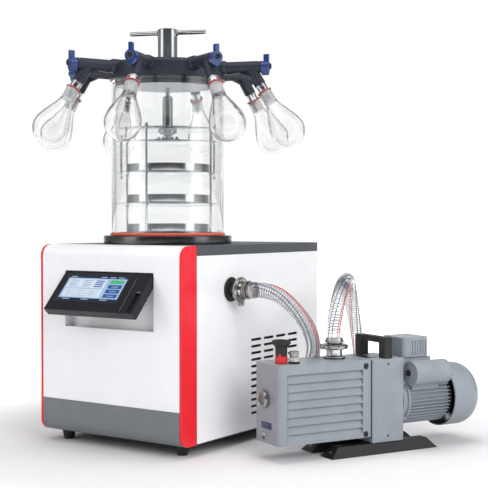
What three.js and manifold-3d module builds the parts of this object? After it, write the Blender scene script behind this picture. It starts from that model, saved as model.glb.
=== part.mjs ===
// A laboratory freeze dryer in millimetres, +Z up, its front towards -Y.
// A clear drying chamber with a stoppering press stands on a refrigerated cabinet, eight flask valves
// ring its lid, and a hose joins the cold trap to a two-stage rotary vane pump beside it.
import * as THREE from "three";
import { mergeVertices } from "three/addons/utils/BufferGeometryUtils.js";
import Module from "manifold-3d";

const wasm = await Module();
wasm.setup();

// ---------------------------------------------------------------- driving sizes

const fit = 0.3; // clearance between faces that touch
const runningFit = 0.4; // radial clearance of a shaft in its bore
const sheet = 2; // wall of the folded panels

// Sides of the round forms. Multiples of four, so that mating rounds keep their clearance all the way.
const largeSides = 24;
const shaftSides = 12;
const rodSides = 8;
const hexagon = 6;

// Cabinet. The chamber's axis stands at x = 0, y = 0.
const cabinetHalfWidth = 200;
const cabinetFront = -209;
const cabinetBack = 339;
const cabinetTop = 442;
const cornerBend = 25;
const trimWidth = 7;
const trimDepth = 52;
const kickHeight = 74;
const capDepth = 21;
const panelFlange = 12;
const footHeight = 24;
const footTopRadius = 15;
const footBottomRadius = 11;
const footInset = 38;
const frontFootSetback = 51;
const rearFootInset = 39;

// Vents in the side and rear panels
const slotLength = 44;
const slotHeight = 6;
const slotPitch = 52;
const slotRowPitch = 15;
const sideSlotRows = 12;
const sideSlotColumns = 4;
const slotStart = 46;
const rearSlotRows = 4;
const rearSlotColumns = 1;
const slotBottom = 59;

// Mains inlet in the rear panel
const inletLeft = -154;
const inletWidth = 32;
const inletTall = 24;
const inletDepth = 14;
const inletRim = 3;

// Screen, hinged at the top of its recess
const recessHalfWidth = 125;
const recessDrop = 57; // from the cabinet's top
const recessHeight = 123;
const recessDepth = 23;
const screenSideGap = 1;
const screenThickness = 20;
const screenHeight = 110;
const screenHingeInset = 5;
const screenHingeDrop = 6;
const screenTilt = 42;
const hingePinRadius = 2;
const glassLeft = -110;
const glassRight = 72;
const glassTopMargin = 9;
const glassHeight = 78;
const glassThickness = 2;
const gripWidth = 13;
const gripHeight = 52;
const gripDepth = 7;
const gripMargin = 6;

// Cold trap and its vacuum port
const wellRadius = 100;
const wellWall = 2;
const wellBottom = 230;
const wellLip = 5.7;
const wellLipThickness = 1.7;
const portSetback = -33;
const portHeight = 345;
const portPipeRadius = 14;
const portPipeWall = 2;
const portReach = 26;
const portFlangeRadius = 20;
const portFlangeThickness = 3;
const bushFlangeRadius = 27;
const bushSleeveRadius = 22.7;
const bushThickness = 4;

// Chamber
const flangeRadius = 147;
const flangeHeight = 19;
const gasketOuterRadius = 132;
const gasketInnerRadius = 119.5;
const gasketHeight = 6;
const chamberRadius = 128.5;
const chamberWall = 8;
const chamberHeight = 346.4;
const lidRadius = 133;
const lidHeight = 38;
const lidEdge = 3;
const spigotHeight = 18;
const spigotClearance = 0.5;

// Flask valves on the lid
const valveCount = 8;
const firstValveAngle = -25.9;
const armDrop = 12;
const armRadius = 13.5;
const armReach = 222;
const branchStart = 195;
const branchTilt = 31.5;
const branchRadius = 13.2;
const branchLength = 48;
const sleeveRadius = 11.7;
const sleeveLength = 16;
const sealRadius = 17;
const sealThickness = 4;
const spoutRadius = 10.2;
const spoutLength = 24;
const knobDepth = 18;
const knobRadius = 13;
const knobWaist = 25; // degrees below level where the drop's sides start to run together
const knobTail = 19;
const knobTailRadius = 4;
const leverTop = 28;
const leverWidth = 9;
const leverDepth = 12;
const leverInset = 0.5;
const nozzleRadius = 8.5;
const nozzleHeight = 4.5;
const nozzleRise = 1;

// Flasks
const flaskNeckRadius = 15;
const flaskNeckLength = 28;
const flaskNeckWall = 4;
const flaskLength = 139;
const flaskBulbRadius = 39;
const flaskArc = 120; // degrees round the bulb from its far end to the start of the slope
const flaskSlopeStart = 57;
const flaskSlopeRadius = 23;
const flaskSides = 10;
const flaskWall = 2;

// Rack, trays and stoppering press
const rackRadius = 117;
const rackPlate = 1.6;
const rodCircle = 107;
const rodRadius = 2.5;
const rodAngles = [-77.9, 12.1, -167.9];
const guideAngles = [38.1, -141.9];
const rackNutRadius = 4.6;
const rackNutHeight = 4;
const rodTip = 5;
const lowShelfRise = 7.7; // shelves, above the flange
const middleShelfRise = 72.7;
const topShelfRise = 141.7;
const trayRadius = 96;
const trayHeight = 19;
const trayWall = 1.2;
const traySides = 20;
const rackHeadroom = 112.3; // from the bridge plate to the lid
const feedNutRadius = 21.5;
const feedNutHeight = 10;
const pressDrop = 30; // raised press plate, below the bridge plate
const pressFootRadius = 29;
const pressFootHeight = 15;
const pressFootFloor = 4;
const guideTail = 13; // of the guide rods below the top shelf
const screwRadius = 12.5;
const screwRise = 75; // above the bridge plate
const screwNeckRadius = 8;
const screwShoulderDrop = 12;
const screwBoreDrop = 5;
const handleShaftRadius = 5;
const handleShaftRise = 5; // end of the shaft, above the bridge plate
const handleTubeRadius = 22.5;
const handleTubeHeight = 81;
const handleBarRadius = 5;
const handleBarLength = 180;
const handleBarDrop = 8;
const handleBarAngle = 22.3;
const guideNutGap = 1.5; // under the top shelf
const turnedEdge = 1.5;

// Refrigeration inside the cabinet
const compressorRadius = 70;
const compressorHeight = 165;
const compressorPlace = [-70, 195];
const condenserDepth = 40;
const condenserInset = 20;
const condenserLength = 220;
const condenserStart = 40;
const condenserHeight = 210;
const compressorFootSpan = 172;
const compressorFootThickness = 3;
const fanRadius = 88;
const fanDepth = 26;
const fanWall = 4;
const fanHubRadius = 18;
const finPitch = 44;
const finDepth = 12;
const finMargin = 8;

// Vacuum pump, in its own frame: x along it from the front face, y across it, z up
const pumpPlace = [385, -129];
const pumpAngle = 63;
const oilBoxLength = 227;
const oilBoxWidth = 100;
const oilBoxBottom = 36;
const pumpTop = 201;
const oilBoxCorner = 10;
const pumpBevel = 2.5;
const ribCount = 8;
const ribPitch = 17.4;
const ribGroove = 8;
const ribDepth = 3;
const ribStart = 20;
const ribEnd = 207;
const ribBottom = 50;
const blockLength = 82;
const blockWidth = 110;
const blockCorner = 6;
const railHeight = 22;
const railTopWidth = 25;
const railBottomWidth = 47;
const railStart = 121;
const railLength = 275;
const railEndSlope = 22;
const railSpacing = 76;
const crossPlate = 3;
const gripLegWidth = 22;
const gripBarHeight = 12;
const pumpGripHeight = 44;
const pumpGripDepth = 20;
const gripChamfer = 4;
const motorHeight = 105;
const motorCoreRadius = 50;
const motorFinRadius = 58;
const motorFins = 12;
const motorAdapter = 16;
const motorFinLength = 111;
const motorLugLength = 10;
const motorLugWidth = 10;
const motorLugRoot = 4;
const coverRadius = 70;
const coverWall = 2;
const coverGap = 2;
const coverLength = 86;
const coverCrown = 34;
const coverSlots = 3;
const coverSides = 20;
const pedestalDrop = 4; // from the pump's top
const terminalLength = 78;
const terminalWidth = 80;
const terminalHeight = 46;
const terminalSetback = 9;
const terminalRibs = 6;
const terminalRibPitch = 7;
const terminalRibMargin = 14;
const terminalRibDepth = 2;
const terminalCorner = 8;
const terminalBevel = 4;
const switchRadius = 13;
const switchWidth = 28;
const switchInset = 6;
const switchRise = 27;
const switchWing = 60; // half of the rocker's front, in degrees
const switchRidge = 4;
const switchRest = 8;
const capacitorRadius = 26.5;
const capacitorLength = 96;
const capacitorSetback = 13;
const capacitorAngle = 134;
const cradleInset = 12;
const cradleHalfWidth = 18.5;
const sightGlassRadius = 19;
const sightGlassDepth = 10;
const sightGlassRim = 4;
const sightGlassRecess = 3;
const sightGlassPlace = [57, 127];
const ballastPlace = [26, 35];
const ballastRadius = 13;
const ballastCapRadius = 19.5;
const ballastHeight = 48;
const ballastCollar = 15;
const ballastWaist = 12;
const ballastRimHeight = 6;
const plugPlace = [49, 22];
const plugRadius = 11;
const plugHeight = 26;
const plugWasher = 3;
const inletPlace = [171, 57];
const inletNeckRadius = 17;
const inletFlangeRadius = 22.5;
const inletHeight = 25;
const inletRimHeight = 3;
const inletBoreRadius = 12;
const inletBoreDepth = 6; // into the oil box

// Hose couplings and the hose's centre line
const portCouplingLength = 40;
const inletCouplingLength = 19;
const clampWall = 7;
const clampGrip = 5;
const clampEar = 9;
const ferruleRadius = 18;
const ferruleLength = 11;
const clampChamfer = 2;
const couplingBore = 12;
const hoseRadius = 16;
const hoseSides = 8;
const hoseSteps = 26;
const hosePoints = [
  [286, -33, 345],
  [324, -30, 335],
  [359, -18, 304],
  [372, 14, 260],
  [354, 60, 213],
  [333, 78, 160],
  [323, 89, 106],
  [323, 114, 60],
  [327, 154, 28],
  [329, 202, 17],
  [328, 251, 26],
  [326, 295, 52],
  [324, 326, 95],
  [321, 339, 146],
  [317, 335, 200],
  [316, 319, 250],
  [320, 295, 298],
  [333, 260, 336],
  [354, 214, 357],
  [376, 165, 361],
  [393, 117, 350],
  [405, 79, 323],
  [411, 55, 286],
];

// ---------------------------------------------------------------- geometry helpers

const radians = THREE.MathUtils.degToRad;
const quarter = Math.PI / 2;

// A closed geometry as a solid for the joins and cuts.
function solidOf(geometry) {
  const bare = new THREE.BufferGeometry();
  bare.setAttribute("position", geometry.getAttribute("position"));
  bare.setIndex(geometry.index);
  const merged = mergeVertices(bare, 1e-4);
  const mesh = new wasm.Mesh({
    numProp: 3,
    vertProperties: new Float32Array(merged.getAttribute("position").array),
    triVerts: new Uint32Array(merged.index.array),
  });
  return new wasm.Manifold(mesh);
}

function geometryOf(solid) {
  const mesh = solid.getMesh();
  const geometry = new THREE.BufferGeometry();
  geometry.setAttribute("position", new THREE.BufferAttribute(mesh.vertProperties, 3));
  geometry.setIndex(new THREE.BufferAttribute(mesh.triVerts, 1));
  return geometry;
}

function join(...geometries) {
  return geometryOf(geometries.map(solidOf).reduce((whole, solid) => whole.add(solid)));
}

function cut(geometry, ...tools) {
  return geometryOf(tools.map(solidOf).reduce((rest, tool) => rest.subtract(tool), solidOf(geometry)));
}

function block([x0, x1], [y0, y1], [z0, z1]) {
  return new THREE.BoxGeometry(x1 - x0, y1 - y0, z1 - z0).translate(
    (x0 + x1) / 2,
    (y0 + y1) / 2,
    (z0 + z1) / 2,
  );
}

// A profile of [radius, height] points, anticlockwise, turned about +Z.
function turned(profile, segments) {
  const points = profile.map(([radius, height]) => new THREE.Vector2(radius, height));
  return new THREE.LatheGeometry(points, segments).rotateX(quarter);
}

function rod(radius, bottom, top, segments) {
  return turned([[0, bottom], [radius, bottom], [radius, top], [0, top]], segments);
}

// The radius of a bore whose flat sides clear a turning shaft.
function boreRadius(shaft, sides) {
  return (shaft + runningFit) / Math.cos(Math.PI / sides);
}

function ring(inner, outer, bottom, top, segments) {
  const profile = [[inner, bottom], [outer, bottom], [outer, top], [inner, top], [inner, bottom]];
  return turned(profile, segments);
}

function outline(points) {
  return new THREE.Shape(points.map(([u, v]) => new THREE.Vector2(u, v)));
}

function circle(x, y, radius, sides) {
  const corners = Array.from({ length: sides }, (_, i) => onCircle(radius, (i * 360) / sides));
  return new THREE.Path(corners.map(([u, v]) => new THREE.Vector2(x + u, y + v)));
}

// A flat shape in x and y, raised from bottom to top.
function raised(shape, bottom, top, curveSegments = 3) {
  const options = { depth: top - bottom, bevelEnabled: false, curveSegments };
  return new THREE.ExtrudeGeometry(shape, options).translate(0, 0, bottom);
}

// A side view in y and z, drawn out along x.
function drawnAlongX(shape, from, to, curveSegments = 3) {
  const turn = new THREE.Matrix4().makeBasis(
    new THREE.Vector3(0, 1, 0),
    new THREE.Vector3(0, 0, 1),
    new THREE.Vector3(1, 0, 0),
  );
  return raised(shape, 0, to - from, curveSegments).applyMatrix4(turn).translate(from, 0, 0);
}

// A front view in x and z, drawn out along y.
function drawnAlongY(shape, from, to, curveSegments = 3) {
  return raised(shape, 0, to - from, curveSegments).rotateX(quarter).translate(0, to, 0);
}

// A box with round upright edges and a small bevel round its top and bottom.
function roundedBox([x0, x1], [y0, y1], [z0, z1], corner, bevel) {
  const shape = new THREE.Shape()
    .absarc(x1 - corner, y1 - corner, corner, 0, quarter)
    .absarc(x0 + corner, y1 - corner, corner, quarter, Math.PI)
    .absarc(x0 + corner, y0 + corner, corner, Math.PI, 3 * quarter)
    .absarc(x1 - corner, y0 + corner, corner, 3 * quarter, 4 * quarter);
  const options = {
    depth: z1 - z0 - 2 * bevel,
    curveSegments: 1,
    bevelSegments: 1,
    bevelSize: bevel,
    bevelThickness: bevel,
    bevelOffset: -bevel,
  };
  return new THREE.ExtrudeGeometry(shape, options).translate(0, 0, z0 + bevel);
}

function rectangle([u0, u1], [v0, v1]) {
  return outline([[u0, v0], [u1, v0], [u1, v1], [u0, v1]]);
}

function onCircle(radius, angle) {
  return [radius * Math.cos(radians(angle)), radius * Math.sin(radians(angle))];
}

function part(name, geometry, color, roughness, metalness = 0) {
  const shown = geometry.index ? geometry.toNonIndexed() : geometry;
  shown.computeVertexNormals();
  const mesh = new THREE.Mesh(shown, new THREE.MeshStandardMaterial({ color, roughness, metalness }));
  mesh.name = name;
  return mesh;
}

function group(...members) {
  const holder = new THREE.Group();
  holder.add(...members);
  return holder;
}

// ---------------------------------------------------------------- cabinet

const cabinetBottom = footHeight;
const trimBack = cabinetFront + trimDepth;
const innerHalfWidth = cabinetHalfWidth - trimWidth;
const kickTop = cabinetBottom + kickHeight;
const bodyFront = trimBack + fit; // front edge of the side panels and the top
const capBottom = cabinetTop - capDepth;
const panelBottom = cabinetBottom + sheet + fit;
const panelTop = capBottom - fit;
const recessTop = cabinetTop - recessDrop;
const recessBottom = recessTop - recessHeight;

function foot(x, y) {
  const profile = [[0, 0], [footBottomRadius, 0], [footTopRadius, footHeight]];
  profile.push([footTopRadius, footHeight + sheet / 2], [0, footHeight + sheet / 2]);
  return turned(profile, shaftSides).translate(x, y, 0);
}

// The floor of the cabinet, with a tongue between the trims, low walls behind the panels and four feet.
function basePan() {
  const tongue = innerHalfWidth - fit;
  const tongueFront = cabinetFront + cornerBend + fit;
  const floor = outline([
    [-tongue, tongueFront],
    [tongue, tongueFront],
    [tongue, bodyFront],
    [cabinetHalfWidth, bodyFront],
    [cabinetHalfWidth, cabinetBack],
    [-cabinetHalfWidth, cabinetBack],
    [-cabinetHalfWidth, bodyFront],
    [-tongue, bodyFront],
  ]);
  const wallOut = cabinetHalfWidth - sheet - fit;
  const wallFront = bodyFront + sheet + fit;
  const wallBack = cabinetBack - 2 * sheet - 2 * fit;
  const wallTop = cabinetBottom + panelFlange;
  const wallHeight = [cabinetBottom + sheet / 2, wallTop];
  const right = block([wallOut - sheet, wallOut], [wallFront, wallBack], wallHeight);
  const left = right.clone().translate(sheet - 2 * wallOut, 0, 0);
  const footX = cabinetHalfWidth - footInset;
  const frontY = cabinetFront + frontFootSetback;
  const rearY = cabinetBack - rearFootInset;
  return join(
    raised(floor, cabinetBottom, cabinetBottom + sheet),
    right,
    left,
    foot(footX, frontY),
    foot(-footX, frontY),
    foot(footX, rearY),
    foot(-footX, rearY),
  );
}

// A vent slot with round ends, from its lower left corner.
function slot(u, v) {
  const end = slotHeight / 2;
  return new THREE.Shape()
    .absarc(u + slotLength - end, v + end, end, -quarter, quarter)
    .absarc(u + end, v + end, end, quarter, 3 * quarter);
}

function slotField(columns, rows) {
  const slots = [];
  for (let column = 0; column < columns; column++)
    for (let row = 0; row < rows; row++)
      slots.push(slot(slotStart + column * slotPitch, slotBottom + row * slotRowPitch));
  return slots;
}

// The right side sheet, folded inwards at its front, top and back. The rear sheet fits behind the last fold.
function sidePanel() {
  const inner = cabinetHalfWidth - sheet;
  const foldEnd = inner - panelFlange;
  const sheetBack = cabinetBack - sheet - fit;
  const tray = block([foldEnd, cabinetHalfWidth], [bodyFront, cabinetBack], [panelBottom, panelTop]);
  const hollow = block(
    [foldEnd - 1, inner],
    [bodyFront + sheet, sheetBack - sheet],
    [panelBottom - 1, panelTop - sheet],
  );
  const seatHeight = [panelBottom - 1, panelTop + 1];
  const rearSeat = block([foldEnd - 1, inner], [sheetBack, cabinetBack + 1], seatHeight);
  return cut(tray, hollow, rearSeat);
}

// The left sheet is the right one mirrored, without vents or port.
function leftSidePanel() {
  const panel = sidePanel().scale(-1, 1, 1);
  const corners = panel.index.array;
  for (let i = 0; i < corners.length; i += 3) [corners[i], corners[i + 1]] = [corners[i + 1], corners[i]];
  return panel;
}

function rightSidePanel() {
  const through = [cabinetHalfWidth - 2 * sheet, cabinetHalfWidth + sheet];
  const vents = drawnAlongX(slotField(sideSlotColumns, sideSlotRows), ...through, 1);
  const port = rod(bushSleeveRadius + fit, ...through, shaftSides)
    .rotateY(quarter)
    .translate(0, portSetback, portHeight);
  return cut(sidePanel(), vents, port);
}

// The rear sheet stands between the side panels and carries the mains inlet.
function rearPanel() {
  const half = cabinetHalfWidth - sheet - fit;
  const sheetFront = cabinetBack - sheet;
  const face = block([-half, half], [sheetFront, cabinetBack], [panelBottom, panelTop]);
  const vents = drawnAlongY(slotField(rearSlotColumns, rearSlotRows), sheetFront - 1, cabinetBack + 1, 1);
  const width = [inletLeft, inletLeft + inletWidth];
  const height = [slotBottom, slotBottom + inletTall];
  const within = ([from, to]) => [from + inletRim, to - inletRim];
  const socket = block(width, [sheetFront - inletDepth, cabinetBack + sheet], height);
  const openDepth = [sheetFront - inletDepth + inletRim, cabinetBack + 2 * sheet];
  const opening = block(within(width), openDepth, within(height));
  return cut(join(face, socket), vents, opening);
}

// The grey top, folded down over the side and rear panels.
function topPlate() {
  const inner = cabinetHalfWidth - sheet;
  const width = [-cabinetHalfWidth, cabinetHalfWidth];
  const cap = block(width, [bodyFront, cabinetBack], [capBottom, cabinetTop]);
  const underside = [capBottom - 1, cabinetTop - sheet];
  const hollow = block([-inner, inner], [bodyFront - 1, cabinetBack - sheet], underside);
  const wellHole = rod(wellRadius + wellWall + 1, cabinetTop - 2 * sheet, cabinetTop + 1, largeSides);
  return cut(cap, hollow, wellHole);
}

// The white front, bent back over the top edge, with the screen's recess folded into it.
function frontPanel() {
  const bendY = cabinetFront + cornerBend;
  const bendZ = cabinetTop - cornerBend;
  const profile = new THREE.Shape()
    .moveTo(trimBack, cabinetTop)
    .absarc(bendY, bendZ, cornerBend, quarter, Math.PI, false)
    .lineTo(cabinetFront, kickTop + fit)
    .lineTo(cabinetFront + sheet, kickTop + fit)
    .absarc(bendY, bendZ, cornerBend - sheet, Math.PI, quarter, true)
    .lineTo(trimBack, cabinetTop - sheet);
  const half = innerHalfWidth - fit;
  const recessX = [-recessHalfWidth, recessHalfWidth];
  const recessZ = [recessBottom, recessTop];
  const recessY = [cabinetFront, cabinetFront + recessDepth];
  const outward = ([from, to]) => [from - sheet, to + sheet];
  const shell = join(
    drawnAlongX(profile, -half, half),
    block(outward(recessX), [recessY[0] + sheet / 2, recessY[1] + sheet], outward(recessZ)),
  );
  const reach = recessHalfWidth + 2 * sheet;
  const hingeHole = rod(boreRadius(hingePinRadius, rodSides), -reach, reach, rodSides)
    .rotateY(quarter)
    .translate(0, hingeY, hingeZ);
  return cut(shell, block(recessX, [recessY[0] - 1, recessY[1]], recessZ), hingeHole);
}

function kickPanel() {
  const bendY = cabinetFront + cornerBend;
  const bendZ = cabinetBottom + cornerBend;
  const profile = new THREE.Shape()
    .moveTo(cabinetFront, kickTop)
    .absarc(bendY, bendZ, cornerBend, Math.PI, 3 * quarter, false)
    .absarc(bendY, bendZ, cornerBend - sheet, 3 * quarter, Math.PI, true)
    .lineTo(cabinetFront + sheet, kickTop);
  const half = innerHalfWidth - fit;
  return drawnAlongX(profile, -half, half);
}

// The red moulding that ends the front on each side.
function trim(from) {
  const bendY = cabinetFront + cornerBend;
  const profile = new THREE.Shape()
    .moveTo(trimBack, cabinetTop)
    .absarc(bendY, cabinetTop - cornerBend, cornerBend, quarter, Math.PI, false)
    .absarc(bendY, cabinetBottom + cornerBend, cornerBend, Math.PI, 3 * quarter, false)
    .lineTo(trimBack, cabinetBottom);
  return drawnAlongX(profile, from, from + trimWidth);
}

// ---------------------------------------------------------------- screen

const hingeY = cabinetFront + screenHingeInset;
const hingeZ = recessTop - screenHingeDrop;

// Both screen pieces are drawn shut, about the hinge: the face lies in front of it and hangs below.
function screenHousing() {
  const half = recessHalfWidth - screenSideGap;
  const face = -screenHingeInset;
  const back = face + screenThickness;
  const top = screenHingeInset;
  const bottom = top - screenHeight;
  const profile = new THREE.Shape()
    .moveTo(back, top)
    .absarc(0, 0, screenHingeInset, quarter, Math.PI, false)
    .lineTo(face, bottom)
    .lineTo(back, bottom);
  const pinEnd = recessHalfWidth + sheet - fit;
  const glassTop = top - glassTopMargin;
  const glassDepth = [face - 1, face + glassThickness + fit];
  const glassSeat = block(
    [glassLeft - fit, glassRight + fit],
    glassDepth,
    [glassTop - glassHeight - fit, glassTop + fit],
  );
  const gripRight = half - gripMargin;
  const grip = block(
    [gripRight - gripWidth, gripRight],
    [face - 1, face + gripDepth],
    [bottom + gripMargin, bottom + gripMargin + gripHeight],
  );
  const pins = rod(hingePinRadius, -pinEnd, pinEnd, rodSides).rotateY(quarter);
  return cut(join(drawnAlongX(profile, -half, half), pins), glassSeat, grip);
}

function screenGlass() {
  const face = -screenHingeInset;
  const top = screenHingeInset - glassTopMargin;
  return block([glassLeft, glassRight], [face, face + glassThickness], [top - glassHeight, top]);
}

function screen() {
  const hinged = group(
    part("screen_housing", screenHousing(), 0x1d2024, 0.35),
    part("screen_glass", screenGlass(), 0x9fb8dc, 0.1),
  );
  hinged.position.set(0, hingeY, hingeZ);
  hinged.rotation.x = -radians(screenTilt);
  return hinged;
}

// ---------------------------------------------------------------- cold trap

const flangeTop = cabinetTop + fit + flangeHeight;
const portEnd = cabinetHalfWidth + portReach;

const wellOutside = wellRadius + wellWall;

function atPort(geometry) {
  return geometry.rotateY(quarter).translate(0, portSetback, portHeight);
}

function portBore() {
  return atPort(rod(portPipeRadius - portPipeWall, wellRadius / 2, portEnd + 1, shaftSides));
}

// The steel well hangs by its lip in the base flange, with a hole in its wall for the port pipe.
function coldTrap() {
  const lipBottom = flangeTop - wellLipThickness;
  const well = turned(
    [
      [0, wellBottom],
      [wellOutside, wellBottom],
      [wellOutside, lipBottom],
      [wellOutside + wellLip, lipBottom],
      [wellOutside + wellLip, flangeTop],
      [wellRadius, flangeTop],
      [wellRadius, wellBottom + wellWall],
      [0, wellBottom + wellWall],
    ],
    largeSides,
  );
  return cut(well, portBore());
}

// The port pipe stands against the well's wall and leaves through the right panel to its flange.
function portPipe() {
  const pipe = atPort(rod(portPipeRadius, wellRadius / 2, portEnd, shaftSides));
  const flange = atPort(rod(portFlangeRadius, portEnd - portFlangeThickness, portEnd, shaftSides));
  const aroundWell = rod(wellOutside + fit, wellBottom, flangeTop, largeSides);
  return cut(join(pipe, flange), aroundWell, portBore());
}

function portBush() {
  const face = cabinetHalfWidth + fit;
  const sleeveEnd = cabinetHalfWidth - sheet - bushThickness;
  const bore = portPipeRadius + fit;
  return turned(
    [
      [bore, sleeveEnd],
      [bushSleeveRadius, sleeveEnd],
      [bushSleeveRadius, face],
      [bushFlangeRadius, face],
      [bushFlangeRadius, face + bushThickness / 2],
      [bushFlangeRadius - bushThickness / 2, face + bushThickness],
      [bore, face + bushThickness],
      [bore, sleeveEnd],
    ],
    shaftSides,
  )
    .rotateY(quarter)
    .translate(0, portSetback, portHeight);
}

function compressor() {
  const floor = cabinetBottom + sheet + fit;
  const top = floor + compressorHeight;
  const bend = compressorRadius / 6;
  const shoulder = compressorRadius / 2;
  const can = turned(
    [
      [0, floor],
      [compressorRadius - bend, floor],
      [compressorRadius, floor + bend],
      [compressorRadius, top - shoulder],
      [compressorRadius - bend, top - bend],
      [shoulder, top],
      [0, top],
    ],
    shaftSides,
  );
  const reach = compressorFootSpan / 2;
  const feet = block([-reach, reach], [-shoulder, shoulder], [floor, floor + compressorFootThickness]);
  return join(can, feet).translate(...compressorPlace, 0);
}

// A finned block behind the side vents, with its fan's shroud on the inner side.
function condenser() {
  const floor = cabinetBottom + sheet + fit;
  const right = cabinetHalfWidth - condenserInset;
  const left = right - condenserDepth;
  const length = [condenserStart, condenserStart + condenserLength];
  const height = [floor, floor + condenserHeight];
  const grooveHeight = [height[0] + finMargin, height[1] - finMargin];
  const grooves = [];
  for (let y = length[0] + finPitch / 2; y < length[1] - finPitch / 2; y += finPitch)
    grooves.push(block([right - finDepth, right + 1], [y, y + finPitch / 2], grooveHeight));
  const onFanAxis = (geometry) =>
    geometry
      .rotateY(quarter)
      .translate(0, condenserStart + condenserLength / 2, floor + condenserHeight / 2);
  const shroud = onFanAxis(ring(fanRadius - fanWall, fanRadius, left - fanDepth, left + 1, shaftSides));
  const hub = onFanAxis(rod(fanHubRadius, left - fanDepth, left + 1, rodSides));
  return join(cut(block([left, right], length, height), ...grooves), shroud, hub);
}

// ---------------------------------------------------------------- chamber

const gasketBottom = flangeTop + fit;
const gasketTop = gasketBottom + gasketHeight;
const chamberBottom = gasketTop + fit;
const chamberTop = chamberBottom + chamberHeight;
const lidBottom = chamberTop + fit;
const lidTop = lidBottom + lidHeight;
const chamberBore = chamberRadius - chamberWall;

// A heavy ring on the cabinet's top, stepped inside for the well's lip.
function baseFlange() {
  const bore = wellRadius + wellWall + fit;
  const step = bore + wellLip;
  const stepFloor = flangeTop - wellLipThickness - fit;
  const bottom = cabinetTop + fit;
  const edge = 2;
  return turned(
    [
      [bore, bottom],
      [flangeRadius, bottom],
      [flangeRadius, flangeTop - edge],
      [flangeRadius - edge, flangeTop],
      [step, flangeTop],
      [step, stepFloor],
      [bore, stepFloor],
      [bore, bottom],
    ],
    largeSides,
  );
}

function chamberGasket() {
  return turned(
    [
      [gasketInnerRadius, gasketBottom],
      [gasketOuterRadius, gasketBottom],
      [gasketOuterRadius, gasketTop - turnedEdge],
      [gasketOuterRadius - turnedEdge, gasketTop],
      [gasketInnerRadius, gasketTop],
      [gasketInnerRadius, gasketBottom],
    ],
    largeSides,
  );
}

// ---------------------------------------------------------------- lid and flask valves

const armHeight = lidTop - armDrop;
const sealStart = branchLength + sleeveLength;
const sealEnd = sealStart + sealThickness;

// The branch of a valve along +Z from the arm's axis: body, steel sleeve, seal ring and spout.
function branch() {
  return turned(
    [
      [0, 0],
      [branchRadius, 0],
      [branchRadius, branchLength],
      [sleeveRadius, branchLength],
      [sleeveRadius, sealStart],
      [sealRadius, sealStart],
      [sealRadius, sealEnd],
      [spoutRadius, sealEnd],
      [spoutRadius, sealEnd + spoutLength],
      [0, sealEnd + spoutLength],
    ],
    rodSides,
  );
}

// From a valve's own frame, +X outwards, to its branch: +Z runs down and outwards.
function toBranch(object) {
  object.rotateY(Math.PI - radians(branchTilt));
  return object;
}

function valveAngle(index) {
  return radians(firstValveAngle + (index * 360) / valveCount);
}

function manifoldLid() {
  const spigot = chamberBore - spigotClearance;
  const body = turned(
    [
      [0, lidBottom - spigotHeight],
      [spigot, lidBottom - spigotHeight],
      [spigot, lidBottom],
      [lidRadius, lidBottom],
      [lidRadius, lidTop - lidEdge],
      [lidRadius - lidEdge, lidTop],
      [0, lidTop],
    ],
    largeSides,
  );
  const arms = [];
  for (let index = 0; index < valveCount; index++) {
    const arm = rod(armRadius, lidRadius - 2 * armRadius, armReach, rodSides)
      .rotateY(quarter)
      .translate(0, 0, armHeight);
    const down = toBranch(branch()).translate(branchStart, 0, armHeight);
    arms.push(arm.rotateZ(valveAngle(index)), down.rotateZ(valveAngle(index)));
  }
  const bore = boreRadius(handleShaftRadius, shaftSides);
  return cut(join(body, ...arms), rod(bore, lidBottom - spigotHeight - 1, lidTop + 1, shaftSides));
}

// A knob on the end of an arm, about its turning axis +X: drop-shaped grip, lever and vent nozzle.
function valveKnob() {
  const tailZ = knobTailRadius - knobTail;
  const grip = new THREE.Shape()
    .absarc(0, 0, knobRadius, radians(-knobWaist), radians(180 + knobWaist), false)
    .absarc(0, tailZ, knobTailRadius, radians(180 + knobWaist), radians(360 - knobWaist), false);
  const stem = rectangle([-leverWidth / 2, leverWidth / 2], [0, leverTop]);
  const nozzle = rod(nozzleRadius, knobDepth / 2, knobDepth + nozzleHeight, hexagon)
    .rotateY(quarter)
    .translate(0, 0, nozzleRise);
  return join(
    drawnAlongX(grip, 0, knobDepth, 3),
    drawnAlongX(stem, knobDepth - leverInset - leverDepth, knobDepth - leverInset),
    nozzle,
  );
}

// Half the outline of the flask's pear, from its far end to the slope above the neck.
function pearProfile(inset, steps) {
  const bulb = flaskBulbRadius - inset;
  const centre = flaskLength - flaskBulbRadius;
  const points = [];
  for (let i = 0; i <= steps; i++) {
    const angle = (radians(flaskArc) * i) / steps;
    points.push([bulb * Math.sin(angle), centre + bulb * Math.cos(angle)]);
  }
  points.push([flaskSlopeRadius - inset, flaskSlopeStart]);
  return points;
}

// A pear-shaped flask along +Z from the face of its mouth.
function flask() {
  const neckBore = flaskNeckRadius - flaskNeckWall;
  const inside = [...pearProfile(flaskWall, 3), [neckBore, flaskNeckLength], [neckBore, 0]];
  const outside = [...pearProfile(0, 4), [flaskNeckRadius, flaskNeckLength], [flaskNeckRadius, 0]];
  return turned([...inside, ...outside.reverse()], flaskSides);
}

function valve(index) {
  const knob = part(`valve_knob_${index + 1}`, valveKnob(), 0x1e3f96, 0.4);
  knob.position.set(armReach + fit, 0, armHeight);
  const vessel = part(`flask_${index + 1}`, flask().translate(0, 0, sealEnd + fit), 0xdfe8ec, 0.05);
  vessel.position.set(branchStart, 0, armHeight);
  toBranch(vessel);
  const holder = group(knob, vessel);
  holder.rotation.z = valveAngle(index);
  return holder;
}

// ---------------------------------------------------------------- rack and stoppering press

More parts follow.
